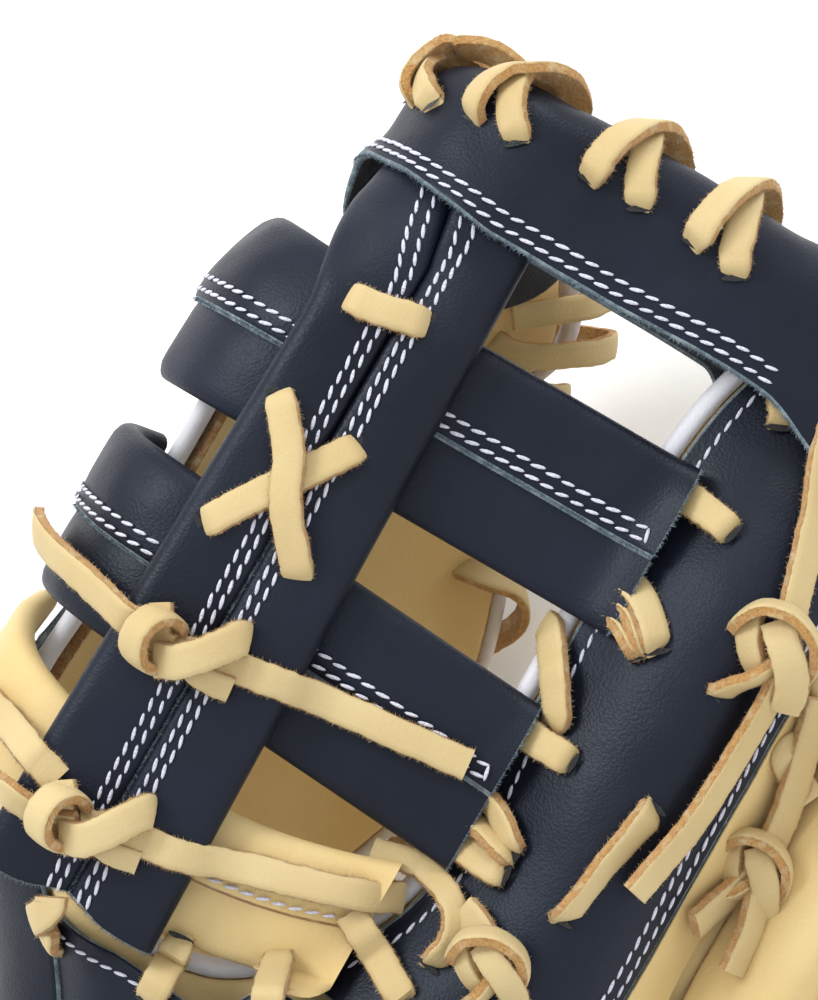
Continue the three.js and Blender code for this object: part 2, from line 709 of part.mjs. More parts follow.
// A knot with its tails: a round core, two wraps crossing over it, and tails that start inside it.
function knot({ u, z, turn, lift = 0, tails }) {
  const size = laceWidth * 1.1;
  const [x, y] = [u * webWidth, z * mittLength];
  const base = topNear(x, y) + gap + size * 0.5 + lift;
  const core = new THREE.SphereGeometry(size * 0.8, 6, 4);
  core.scale(1, 1, 0.62);
  core.lookAt(overOutward(x, y));
  const at = over(x, y, base);
  core.translate(at.x, at.y, at.z);
  const wraps = [turn, turn + Math.PI * 0.45].map((angle, k) => {
    const rows = [-1, -0.55, 0, 0.55, 1].map((share) => {
      const [du, dz] = [Math.cos(angle) * size * share, Math.sin(angle) * size * share];
      const rise = (size * 0.62 + k * laceThick * 0.6) * (1 - share * share);
      return over(x + du, y + dz, base - size * 0.35 + rise);
    });
    const side = vec(-Math.sin(angle), 0, Math.cos(angle));
    return strap(rows, rows.map(() => side));
  });
  const ends = tails.map((rows) => layLace([[u, z, lift + size * 0.35], ...rows], rows.length * 2));
  return join(solidOf(core), ...wraps, ...ends);
}

// Straps over the rail: u of each end, the rise over the top edge and the clearance of both ends.
const railHoles = { front: 0.27, back: 0.8 }; // places on the rail's outer face, as railPoint's q

function railLace({ from, to, rise, seat }) {
  const count = 9;
  const points = [];
  const sides = [];
  for (let k = 0; k <= count; k += 1) {
    const t = k / count;
    const u = lerp(from, to, t) * webWidth;
    const q = lerp(railHoles.front, railHoles.back, t);
    const lift = seat + laceThick / 2 + rise * Math.sin(Math.PI * t);
    points.push(railPoint(u, q, lift));
  }
  points.forEach((point, k) => {
    const u = lerp(from, to, k / count) * webWidth;
    const q = lerp(railHoles.front, railHoles.back, k / count);
    const normal = railPoint(u, q, 4).sub(railPoint(u, q, 0)).normalize();
    const along = points[Math.min(k + 1, count)].clone().sub(points[Math.max(k - 1, 0)]);
    sides.push(along.cross(normal).normalize());
  });
  return strap(points, sides);
}

// Stretches of the outline whose rim is laced
const thumbPiped = [0, 4];
const thumbLaced = [0, 3.4];
const fingerLaced = [10, lastRow];

// A lace that spirals round a rim, and the holes it needs through palm and back.
function rimLace([fromRow, toRow], turns) {
  const place = (s, inset, lift) => {
    const edge = rimCurve.getPoint(s);
    const along = rimCurve.getTangent(s);
    const inward = vec(-along.y, along.x, 0);
    if (inward.dot(notchCurve.getPoint(s).sub(edge)) < 0) inward.negate();
    edge.addScaledVector(inward, inset);
    return { u: edge.x, z: edge.y, lift: lift(edge.x, edge.y) };
  };
  const inner = () => -gap / 2 - padMiddle - 3 * gap - laceThick;
  const middle = () => -pipingDepth;
  const outer = (u, z) => highest(backTop, u, z, laceWidth * 0.6) + 2 * gap + laceThick;
  const over = -2 * pipingRadius - pipingGap - 4 * gap - laceThick;
  const loop = [
    { share: 0, inset: rimInset, lift: inner },
    { share: 0.15, inset: -1.5 * laceThick, lift: inner },
    { share: 0.5, inset: over, lift: middle },
    { share: 0.85, inset: -laceThick, lift: outer },
    { share: 1, inset: rimInset, lift: outer },
  ];
  const at = ({ u, z, lift }) => sheet(u, z, lift);
  const points = [];
  const sides = [];
  const holes = [];
  for (let k = 0; k < turns; k += 1) {
    const s = (share) => lerp(fromRow, toRow, (k + share + 0.3) / (turns + 0.6)) / lastRow;
    const side = at(place(s(0.6), 0, middle)).sub(at(place(s(0.4), 0, middle))).normalize();
    for (const { share, inset, lift } of loop) {
      points.push(at(place(s(share), inset, lift)));
      sides.push(side);
    }
    if (k < turns - 1) {
      const ends = [inner, outer].map((lift, e) => {
        const spot = place(s(1), rimInset, lift);
        return sheet(spot.u, spot.z, spot.lift + (e ? 1 : -1) * laceThick);
      });
      holes.push(strap(ends, [side, side], laceWidth + 2 * holeGap, laceThick * 2.5));
    }
  }
  return { lace: strap(points, sides), holes };
}

// Lace tables
// Crossed pairs over the rail's top edge: u at front and back as shares of webWidth, and the clearance
// of both ends from the rail.
const pairRise = [{ rise: 6, side: 'over' }, { rise: 0.8, side: 'under' }];
const pairRows = [
  { over: [-0.15, -0.05], under: [-0.08, -0.19], seat: 5 * gap },
  { over: [-0.01, 0.15], under: [0.06, 0.05], seat: 2 * gap },
  { over: [0.2, 0.42], under: [0.325, 0.29], seat: 3 * gap },
  { over: [0.46, 0.64], under: [0.575, 0.54], seat: 2.5 * gap },
];
const railLaces = pairRows.flatMap((pair, k) => pairRise.map(({ rise, side }) => (
  { name: `rail_lace_${k + 1}_${side}`, from: pair[side][0], to: pair[side][1], rise, seat: pair.seat }
)));

const laces = {
  post_lace_top: [[-0.115, 0.15], [-0.03, 0.153, 0.8], [0.06, 0.159]],
  post_lace_under: [[-0.13, -0.016], [-0.04, 0.028], [0.06, 0.072]],
  post_lace_over: [[-0.13, 0.076], [-0.06, 0.045, 2], [-0.01, 0.018, 3], [0.09, -0.019]],
  upper_bar_lace_high: [[0.77, 0.147, -1], [0.8, 0.147, -1], [0.84, 0.146, -1]],
  upper_bar_lace_low: [[0.76, 0.072], [0.79, 0.06], [0.81, 0.048]],
  lower_bar_lace_high: [[0.69, -0.02], [0.74, -0.026], [0.79, -0.031]],
  lower_bar_lace_low: [[0.69, -0.09, -0.7], [0.73, -0.098, -0.7], [0.77, -0.106, -0.9]],
  piping_lace: [[0.63, 0.026], [0.67, 0.012, 0.6], [0.71, -0.004]],
  running_lace: [[0.94, -0.03], [0.925, -0.075, 0.8], [0.915, -0.117]],
  crotch_lace_left: [[-0.33, -0.186], [-0.22, -0.195, 0.6], [-0.14, -0.203]],
  crotch_lace_middle: [[-0.02, -0.272, 0.2], [0.01, -0.287, 0.3], [0.03, -0.305, -0.8]],
  crotch_lace_1: [[0.26, -0.262], [0.26, -0.275, 0.5], [0.26, -0.3]],
  crotch_lace_2: [[0.46, -0.238, -1], [0.48, -0.252, -1], [0.52, -0.272, -1.8]],
  crotch_lace_3: [[0.55, -0.19], [0.62, -0.2, 0.5], [0.72, -0.215]],
  stall_lace: [[1.16, 0.14, -0.8], [1.27, 0.115, -0.4], [1.16, 0.09, -0.4], [1.27, 0.065, -0.4], [1.16, 0.04, -0.4],
    [1.27, 0.02, -0.8]],
};

const knots = {
  post_knot: {
    u: -0.06, z: -0.09, turn: 0.4,
    tails: [
      [[-0.18, -0.083, 1.5], [-0.3, -0.076, 2], [-0.4, -0.071, 3]],
      [[0.1, -0.086, 1], [0.3, -0.077, 2], [0.6, -0.068, 1.5]],
    ],
  },
  base_knot: {
    u: -0.035, z: -0.222, turn: 1.2,
    tails: [
      [[-0.12, -0.222, 1], [-0.22, -0.221, 1.5]],
      [[0.12, -0.22, 1], [0.34, -0.208, 1.6], [0.56, -0.176, 2]],
    ],
  },
  finger_knot: {
    u: 1.01, z: 0.1, turn: 0.7,
    tails: [
      [[0.98, 0.145, 1], [0.91, 0.205, 2]],
      [[1.02, 0.03, 1], [1.03, -0.03, 2], [1.01, -0.085, 2.5]],
    ],
  },
  crotch_knot: {
    u: 0.83, z: -0.16, turn: 0.2, lift: 1,
    tails: [
      [[0.78, -0.152, 1], [0.74, -0.148, 1]],
    ],
  },
  stall_knot: {
    u: 1.25, z: -0.03, turn: 1.9, lift: 4.5,
    tails: [
      [[1.22, -0.055, 1], [1.17, -0.085, 1]],
      [[1.28, -0.065, 1], [1.29, -0.1, 1]],
    ],
  },
};

// Assembly
const thumbLace = rimLace(thumbLaced, thumbTurns);
const fingerLace = rimLace(fingerLaced, fingerTurns);
const pierced = (solid, { holes }) => holes.reduce((left, hole) => left.subtract(hole), solid);
add('palm_shell', 'tan', pierced(pierced(palmPiece(), thumbLace), fingerLace));
add('thumb_back', 'navy', pierced(thumbPiece(), thumbLace));
add('index_back', 'navy', pierced(indexPiece(0, navyShare, 9), fingerLace));
add('index_side', 'tan', pierced(indexPiece(navyShare + 0.01, 1, 2), fingerLace));
for (const row of stallRows) add(row.name, 'tan', pierced(stallPiece(row), fingerLace));
add('thumb_rim_lace', 'lace', thumbLace.lace);
add('finger_rim_lace', 'lace', fingerLace.lace);
add('hand_back', 'navy', pierced(handPiece(), fingerLace));
add('wrist_strap', 'tan', wristStrapPiece());
add('web_piping', 'piping', piping(notchCurve, rimCurve, 0, lastRow));
add('thumb_rim_piping', 'piping', piping(rimCurve, notchCurve, ...thumbPiped));
add('finger_rim_piping', 'piping', piping(rimCurve, notchCurve, ...fingerLaced));
add('top_rail', 'navy', railPiece());
add('post', 'navy', postPiece());
for (const [name, bar] of Object.entries(bars)) add(name, bar.look, barPiece(bar));

for (const row of railLaces) add(row.name, 'lace', railLace(row));
for (const [name, rows] of Object.entries(laces)) add(name, 'lace', layLace(rows));
for (const [name, row] of Object.entries(knots)) add(name, 'lace', knot(row));

// Rest: the web frame is turned so that the floor lies under the rims and the heel.
const upright = new THREE.Group();
upright.rotation.x = -Math.PI / 2;
const rolled = new THREE.Group();
rolled.rotation.y = restRoll;
const mitt = new THREE.Group();
mitt.add(rolled);
rolled.add(upright);
mitt.updateMatrixWorld(true);

// The lowest point of all pieces, and a slab that takes off what the floor presses flat.
const lowest = Math.min(...pieces.map(({ solid }) => {
  const positions = geometryFrom(solid).applyMatrix4(upright.matrixWorld).attributes.position;
  return Math.min(...Array.from({ length: positions.count }, (_, i) => positions.getZ(i)));
}));
const slabSize = 2 * mittLength;
const slab = new THREE.BoxGeometry(slabSize, slabSize, slabSize);
slab.translate(0, 0, lowest + restTrim - slabSize / 2);
slab.applyMatrix4(upright.matrixWorld.clone().invert());
const floor = solidOf(slab);

for (const { name, look, solid } of pieces) {
  const material = new THREE.MeshStandardMaterial({ ...finish[look], metalness: 0 });
  const mesh = new THREE.Mesh(geometryFrom(solid.subtract(floor)), material);
  mesh.name = name;
  upright.add(mesh);
}

const bounds = new THREE.Box3().setFromObject(mitt, true);
const middle = bounds.getCenter(vec(0, 0, 0));
mitt.position.set(-middle.x, -middle.y, -bounds.min.z);

export default mitt;
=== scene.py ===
# %% [markdown]
# # A first baseman mitt
# The lesson dresses a mitt that is already measured: its solids come packed, in metres, palm down on the
# floor. Each cell makes one leather piece or one finish, and the notes say why that way was chosen.

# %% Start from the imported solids
import math

import bmesh
import bpy
import numpy as np
from mathutils import Matrix, Vector, noise


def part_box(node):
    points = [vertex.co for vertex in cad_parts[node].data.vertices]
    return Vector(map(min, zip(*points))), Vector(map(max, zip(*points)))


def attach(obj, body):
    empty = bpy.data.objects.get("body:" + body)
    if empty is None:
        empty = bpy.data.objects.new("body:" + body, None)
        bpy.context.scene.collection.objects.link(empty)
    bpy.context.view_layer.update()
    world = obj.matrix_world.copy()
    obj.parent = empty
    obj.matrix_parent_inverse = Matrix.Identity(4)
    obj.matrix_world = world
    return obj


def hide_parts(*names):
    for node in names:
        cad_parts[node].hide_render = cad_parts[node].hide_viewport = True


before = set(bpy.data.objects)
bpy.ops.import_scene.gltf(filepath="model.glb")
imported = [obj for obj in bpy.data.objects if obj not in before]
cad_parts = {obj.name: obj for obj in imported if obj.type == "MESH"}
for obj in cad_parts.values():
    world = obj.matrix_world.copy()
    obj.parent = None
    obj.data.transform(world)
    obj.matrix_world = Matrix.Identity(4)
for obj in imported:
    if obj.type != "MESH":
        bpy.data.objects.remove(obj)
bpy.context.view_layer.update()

# %% [markdown]
# ## The leather sheet
# A mitt is cut from flat leather, so every piece can be drawn on one bent sheet: u runs across the web to
# the fingers, z from heel to fingertips, and lift stands off the sheet towards the back of the hand. The
# sheet folds round the thumb and curls with the fingers. All lengths here are millimetres.

# %% Sizes of the sheet
LENGTH, WEB = 321.0, 97.0
THUMB_REACH, FINGER_REACH = 165.0, 202.0
FOLD_RADIUS, FOLD_TURN, THUMB_CURL = 22.0, math.radians(128), 220.0
FINGER_CURL, FINGER_FLAT = 250.0, 60.0
BOW_AT, BOW_LENGTH = 10.0, 1600.0
ROLL = math.radians(22)
GAP, WALL = 0.4, 2.0
PAD_EDGE, PAD_RISE = 5.5, 3.0


def through(keys, values):
    """A smooth curve through a table: value against key."""
    order = np.argsort(keys)
    k, v = np.array(keys, float)[order], np.array(values, float)[order]
    low = np.r_[0, np.arange(len(k) - 1)]
    high = np.r_[np.arange(1, len(k)), len(k) - 1]
    slope = (v[high] - v[low]) / (k[high] - k[low])

    def at(x):
        x = np.clip(x, k[0], k[-1])
        i = np.clip(np.searchsorted(k, x, side="left") - 1, 0, len(k) - 2)
        span = k[i + 1] - k[i]
        t = (x - k[i]) / span
        rise = 3 * t * t - 2 * t ** 3
        return (v[i] * (1 - rise) + v[i + 1] * rise
                + span * (slope[i] * t * (1 - t) ** 2 - slope[i + 1] * t * t * (1 - t)))

    return at


# Where the fold lies: z as a share of LENGTH, x of WEB, radius of FOLD_RADIUS
fold_rows = [(0.33, -0.08, 0.82), (0.25, -0.11, 0.86), (0.2, -0.2, 0.95), (0.156, -0.3, 1), (0.11, -0.33, 1),
             (-0.125, -0.33, 1), (-0.206, -0.305, 1), (-0.243, -0.215, 1), (-0.28, -0.1, 1.02),
             (-0.327, 0.02, 1.05), (-0.405, 0.17, 1.12), (-0.53, 0.4, 1.24), (-0.67, 0.53, 1.36)]
fold_x = through([r[0] for r in fold_rows], [r[1] for r in fold_rows])
fold_r = through([r[0] for r in fold_rows], [r[2] for r in fold_rows])


def fold(z):
    radius = fold_r(z / LENGTH) * FOLD_RADIUS
    return radius, fold_x(z / LENGTH) * WEB + radius


def bare(u, z):
    u, z = np.broadcast_arrays(np.asarray(u, float), np.asarray(z, float))
    radius, start = fold(z)
    bow = (z - BOW_AT) ** 2 / BOW_LENGTH
    curl = np.maximum(u - FINGER_FLAT, 0) / FINGER_CURL
    turn = np.clip((start - u) / radius, 0, FOLD_TURN)
    end = FOLD_TURN + np.maximum(start - u - radius * FOLD_TURN, 0) / THUMB_CURL
    x = np.where(u >= start, np.minimum(u, FINGER_FLAT) + FINGER_CURL * np.sin(curl),
                 start - radius * np.sin(turn) + THUMB_CURL * (math.sin(FOLD_TURN) - np.sin(end)))
    y = np.where(u >= start, FINGER_CURL * (1 - np.cos(curl)),
                 radius * (1 - np.cos(turn)) + THUMB_CURL * (math.cos(FOLD_TURN) - np.cos(end)))
    return np.stack([x, y + bow, z], -1)


def unit(vectors):
    return vectors / np.maximum(np.linalg.norm(vectors, axis=-1, keepdims=True), 1e-9)


def square(vectors, axis):
    """The vectors made square to an axis, and of length 1."""
    return unit(vectors - axis * np.sum(vectors * axis, -1, keepdims=True))


def outward(u, z):
    across = bare(u + 0.5, z) - bare(u - 0.5, z)
    along = bare(u, z + 0.5) - bare(u, z - 0.5)
    return unit(np.cross(across, along))


def sheet(u, z, lift=0.0):
    u, z, lift = np.broadcast_arrays(np.asarray(u, float), np.asarray(z, float), np.asarray(lift, float))
    return bare(u, z) + outward(u, z) * lift[..., None]


print("fold at the web's middle:", [round(float(v), 1) for v in fold(0.0)])

# %% Palm outline
# Notch u in shares of WEB, rim u of the thumb's or the fingers' reach, both z of LENGTH
outline_rows = [
    (-0.42, 0.245, -0.45, 0.25), (-0.53, 0.187, -0.66, 0.193), (-0.61, 0.062, -0.94, 0.037),
    (-0.6, -0.062, -0.98, -0.14), (-0.49, -0.16, -0.69, -0.312), (-0.28, -0.228, -0.3, -0.483),
    (-0.07, -0.274, -0.08, -0.61), (0.15, -0.284, 0.27, -0.655), (0.38, -0.274, 0.58, -0.62),
    (0.58, -0.212, 0.81, -0.5), (0.67, -0.137, 0.94, -0.312), (0.66, -0.016, 1, -0.109),
    (0.66, 0.109, 0.99, 0.093), (0.69, 0.212, 0.91, 0.224), (0.75, 0.262, 0.76, 0.283),
    (0.81, 0.288, 0.56, 0.302)]
LAST = len(outline_rows) - 1


def curve(points, steps):
    """A centripetal spline through points, as steps + 1 points spaced evenly by segment."""
    p = np.array(points, float)
    p = np.vstack([2 * p[0] - p[1], p, 2 * p[-1] - p[-2]])
    t = np.linspace(0, len(p) - 3, steps + 1)
    i = np.minimum(t.astype(int), len(p) - 4)
    w = (t - i)[:, None]
    a, b, c, d = p[i], p[i + 1], p[i + 2], p[i + 3]
    gap_of = lambda q, r: np.maximum(np.sum((q - r) ** 2, 1) ** 0.25, 1e-4)[:, None]
    d0, d1, d2 = gap_of(a, b), gap_of(b, c), gap_of(c, d)
    s1 = ((b - a) / d0 - (c - a) / (d0 + d1) + (c - b) / d1) * d1
    s2 = ((c - b) / d1 - (d - b) / (d1 + d2) + (d - c) / d2) * d1
    return b + s1 * w + (-3 * b + 3 * c - 2 * s1 - s2) * w ** 2 + (2 * b - 2 * c + s1 + s2) * w ** 3


STEPS = 1500
notch = curve([(r[0] * WEB, r[1] * LENGTH) for r in outline_rows], STEPS)
rim = curve([(r[2] * (THUMB_REACH if r[2] < 0 else FINGER_REACH), r[3] * LENGTH) for r in outline_rows],
            STEPS)
turn_at = STEPS * 7 // LAST
crotch = notch[turn_at]


def on(line, row):
    """A point of an outline at a row number, which may be a fraction."""
    at = np.asarray(row, float) / LAST * STEPS
    return np.stack([np.interp(at, np.arange(STEPS + 1), line[:, k]) for k in (0, 1)], -1)


thumb_notch = lambda z: np.interp(z, notch[:turn_at + 1, 1][::-1], notch[:turn_at + 1, 0][::-1])
thumb_rim = lambda z: np.interp(z, rim[:turn_at + 1, 1][::-1], rim[:turn_at + 1, 0][::-1])
finger_notch = lambda z: np.interp(z, notch[turn_at:, 1], notch[turn_at:, 0])
finger_rim = lambda z: np.interp(z, rim[turn_at:, 1], rim[turn_at:, 0])
seam = lambda z: fold(z)[1] - fold(z)[0] * 0.8

# %% From the sheet to the floor
palm_rows = np.linspace(0, LAST, LAST * 3 + 1)


def palm_grid(rows, across):
    share = np.linspace(0, 1, across + 1)[None, :, None]
    spots = on(notch, rows)[:, None] * (1 - share) + on(rim, rows)[:, None] * share
    pad = PAD_EDGE + PAD_RISE * np.sin(math.pi * share[..., 0]) + 0 * spots[..., 0]
    outer = sheet(spots[..., 0], spots[..., 1], -GAP / 2)
    return outer, sheet(spots[..., 0], spots[..., 1], -GAP / 2 - pad), spots


def laid(points):
    x, y, z = np.moveaxis(np.asarray(points, float), -1, 0)
    cos, sin = math.cos(ROLL), math.sin(ROLL)
    return np.stack([cos * x - sin * y, z, -sin * x - cos * y], -1)


palm_points = laid(np.vstack([g.reshape(-1, 3) for g in palm_grid(palm_rows, 5)[:2]]))
palm_low, palm_high = (np.array(c) * 1000 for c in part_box("palm_shell"))
SHIFT = np.array([palm_low[0] - palm_points[:, 0].min(), palm_low[1] - palm_points[:, 1].min(),
                  palm_high[2] - palm_points[:, 2].max()])
place = lambda points: (laid(points) + SHIFT) / 1000
print("shift onto the floor in mm:", SHIFT.round(2))

# %% [markdown]
# ## The camera
# The photograph looks straight at the back of the web from about 0.9 m, rolled by 30 degrees. The camera is
# placed in the web's own directions and turned with the mitt, so it looks down at the floor.

# %% Camera
def linked(name, data):
    """An object of the scene that shows the data."""
    made = bpy.data.objects.new(name, data)
    bpy.context.scene.collection.objects.link(made)
    return made


DISTANCE, CENTRE, SENSOR = 900.0, (20.3, 19.0), 36.0
PICTURE_HEIGHT, PIXELS_PER_MM = 1000, 4.8
turned = lambda v: Vector(laid(np.array([v]))[0])
side, up, back = turned((0.866, 0, 0.5)), turned((-0.5, 0, 0.866)), turned((0, -1, 0))
camera_data = bpy.data.cameras.new("camera")
camera_data.sensor_width = SENSOR
camera_data.lens = SENSOR * DISTANCE / (PICTURE_HEIGHT / PIXELS_PER_MM)
camera = linked("camera", camera_data)
turn = Matrix((side, up, back)).transposed().to_4x4()
spot = Vector(place(np.array([[CENTRE[0], -DISTANCE, CENTRE[1]]]))[0])
camera.matrix_world = Matrix.Translation(spot) @ turn
bpy.context.scene.camera = camera
print("camera at", [round(v, 3) for v in spot], "lens", round(camera_data.lens, 1))

# %% [markdown]
# ## Finishes
# Every finish is a node tree. One small class wraps a socket, so that sums on sockets read like sums on
# numbers, and one method makes any other node.


# %% Sums on sockets
class Wire:
    def __init__(self, tree, socket=None):
        self.tree, self.socket = tree, socket

    def node(self, kind, settings=None, inputs=None, out=0):
        made = self.tree.nodes.new(kind)
        for key, value in (settings or {}).items():
            setattr(made, key, value)
        for key, value in (inputs or {}).items():
            if isinstance(value, Wire):
                self.tree.links.new(value.socket, made.inputs[key])
            else:
                made.inputs[key].default_value = value
        return Wire(self.tree, made.outputs[out])

    def sum(self, operation, other, turned=False):
        first, second = (other, self) if turned else (self, other)
        return self.node("ShaderNodeMath", {"operation": operation}, {0: first, 1: second})

    def __add__(self, other): return self.sum("ADD", other)
    def __radd__(self, other): return self.sum("ADD", other, True)
    def __sub__(self, other): return self.sum("SUBTRACT", other)
    def __rsub__(self, other): return self.sum("SUBTRACT", other, True)
    def __mul__(self, other): return self.sum("MULTIPLY", other)
    def __rmul__(self, other): return self.sum("MULTIPLY", other, True)

    def speckle(self, where, scale, detail, **more):
        """Noise of one scale over the places in where."""
        return self.node("ShaderNodeTexNoise", None,
                         {"Vector": where, "Scale": scale, "Detail": detail, **more})

    def ramp(self, low, high):
        return self.node("ShaderNodeMapRange", {"clamp": True}, {"Value": self, 1: low, 2: high})

    def mix(self, first, second):
        """Colours mixed by this socket, 0 giving the first."""
        return self.node("ShaderNodeMix", {"data_type": "RGBA"}, {0: self, 6: first, 7: second}, 2)


def shade(red, green, blue):
    """A screen colour from 0 to 255, as the linear values that nodes take."""
    return tuple(((c / 255 + 0.055) / 1.055) ** 2.4 if c > 10 else c / 3295
                 for c in (red, green, blue)) + (1,)


def finish(name, build, sheen=0.0, specular=0.5, tint=(1, 1, 1)):
    material = bpy.data.materials.new(name)
    material.use_nodes = True
    tree = material.node_tree
    shader = tree.nodes["Principled BSDF"]
    shader.inputs["Sheen Weight"].default_value = sheen
    shader.inputs["Specular IOR Level"].default_value = specular
    shader.inputs["Specular Tint"].default_value = (*tint, 1)
    start = Wire(tree)
    where = start.node("ShaderNodeTexCoord", out="Object")
    colour, rough, height, depth = build(start, where)
    bump = start.node("ShaderNodeBump", None, {"Strength": 1.0, "Distance": depth, "Height": height})
    for key, value in (("Base Color", colour), ("Roughness", rough), ("Normal", bump)):
        tree.links.new(value.socket, shader.inputs[key])
    return material


# %% [markdown]
# Tanned leather has three scales of surface: pebbles under a millimetre, creases of a few millimetres where
# it bends, and slow changes of colour. Cell noise gives the pebbles and stretched noise the creases.


# %% Smooth leathers
def grain_leather(name, deep, face, worn, rough, pebble, crease, sheen=0.0, specular=0.5, tint=(1, 1, 1)):
    deep, face, worn = shade(*deep), shade(*face), shade(*worn)

    def build(start, where):
        cells = start.node("ShaderNodeTexVoronoi", None, {"Vector": where, "Scale": 1500.0})
        fine, broad = start.speckle(where, 3200.0, 2.0), start.speckle(where, 26.0, 4.0)
        bent = start.node("ShaderNodeTexNoise", {"noise_type": "RIDGED_MULTIFRACTAL"},
                          {"Vector": where, "Scale": 60.0, "Detail": 4.0, "Roughness": 0.55,
                           "Distortion": 0.6})
        crack = bent.ramp(0.75, 1.6)
        tone = (broad.ramp(0.32, 0.7) + cells * 0.25 - 0.1).mix(deep, face)
        colour = (crack * 0.3).mix(tone, worn)
        surface = cells * pebble + fine * (pebble * 0.35) - crack * crease
        shine = rough + (broad - 0.5) * 0.22 + cells * 0.1
        return colour, shine, surface, 0.001

    return finish(name, build, sheen, specular, tint)


navy = grain_leather("navy_leather", (13, 15, 26), (22, 26, 41), (44, 50, 68), 0.42, 0.06, 0.07,
                     0.0, 0.3, (0.78, 0.88, 1.0))
tan = grain_leather("tan_leather", (210, 183, 124), (224, 200, 144), (194, 160, 100),
                    0.52, 0.04, 0.05, 0.05, 0.3)
palm_tan = grain_leather("palm_leather", (222, 194, 134), (236, 212, 156), (206, 172, 112),
                         0.58, 0.05, 0.05, 0.1, 0.3)
lace_grain = grain_leather("lace_grain", (194, 170, 120), (208, 188, 140), (176, 142, 90),
                           0.52, 0.05, 0.1, 0.05, 0.3)
piping_white = grain_leather("white_piping", (226, 227, 236), (246, 246, 251), (205, 205, 215),
                             0.42, 0.05, 0.02, 0.0, 0.45)


# %% Cut edges and thread
# A cut shows the leather's fibres: suede, with pale fluff over a warmer core.
FIBRE_SCALE, FIBRE_DEPTH = 1700.0, 0.0016


def suede(name, deep, face, fluff):
    deep, face, fluff = shade(*deep), shade(*face), shade(*fluff)

    def build(start, where):
        fibres = start.speckle(where, FIBRE_SCALE, 4.0, Roughness=0.7)
        clumps = start.speckle(where, FIBRE_SCALE * 0.22, 3.0)
        tone = fibres.ramp(0.36, 0.62).mix(deep, face)
        colour = clumps.ramp(0.5, 0.7).mix(tone, fluff)
        return colour, 0.9 + fibres * 0.05, fibres + clumps * 0.6, FIBRE_DEPTH

    return finish(name, build, 0.4, 0.15)


lace_suede = suede("lace_suede", (212, 146, 62), (242, 186, 100), (250, 214, 150))
lace_pale = suede("lace_fluff", (226, 176, 104), (238, 200, 136), (246, 226, 180))
navy_raw = suede("navy_cut_edge", (70, 92, 110), (140, 168, 184), (180, 202, 212))
navy_inside = suede("navy_flesh_side", (26, 32, 42), (44, 54, 68), (70, 86, 100))
# The slits' near-black finish is painted shade: it stands in for the dark hollow where a lace goes into the
# leather.
slit_painted_shade = suede("slit_painted_shade", (5, 6, 9), (8, 9, 13), (12, 14, 20))
tan_raw = suede("tan_cut_edge", (178, 120, 58), (214, 160, 92), (230, 200, 146))


def thread_finish(start, where):
    twist = start.speckle(where, 2600.0, 2.0)
    colour = twist.ramp(0.3, 0.75).mix(shade(196, 198, 222), shade(244, 245, 255))
    return colour, 0.55 + twist * 0.1, twist, 0.0005


thread = finish("white_thread", thread_finish, 0.1, 0.4)
print("finishes:", len(bpy.data.materials))

# %% [markdown]
# ## Making leather
# A piece is a grid of points for its outer face and one for its inner face. The rim between them gets a
# rounded shoulder on each side and the cut-edge finish between, as a knife leaves it.


# %% Skins, tubes and pieces
def ripple(points, size, height, seed=0.0):
    """A slow unevenness, in the same units as height, for an array of points."""
    flat = points.reshape(-1, 3) / size + seed
    return np.array([noise.noise(Vector(p)) for p in flat]).reshape(points.shape[:-1]) * height


def waves(points, *rows):
    """Ripples added up, each row being its size, height and seed."""
    return sum(ripple(points, *row) for row in rows)


def show(name, mesh):
    """Puts a mesh into the scene as a piece that stays with the mitt's only body."""
    piece = linked(name, mesh)
    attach(piece, "root")
    return piece


def new_piece(name, points, faces, looks, slots, nodes, record_slot, sharp=50):
    mesh = bpy.data.meshes.new(name)
    mesh.from_pydata(place(points).tolist(), [], faces)
    for look in looks:
        mesh.materials.append(look)
    mesh.polygons.foreach_set("material_index", slots)
    made = bmesh.new()
    made.from_mesh(mesh)
    bmesh.ops.recalc_face_normals(made, faces=made.faces)
    made.to_mesh(mesh)
    made.free()
    mesh.polygons.foreach_set("use_smooth", [True] * len(mesh.polygons))
    mesh.set_sharp_from_angle(angle=math.radians(sharp))
    piece = show(name, mesh)
    if nodes:
        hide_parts(*nodes)
    return piece


def border(m, n):
    top = [(0, j) for j in range(n)]
    right = [(i, n - 1) for i in range(1, m)]
    bottom = [(m - 1, j) for j in range(n - 2, -1, -1)]
    left = [(i, 0) for i in range(m - 2, 0, -1)]
    return top + right + bottom + left


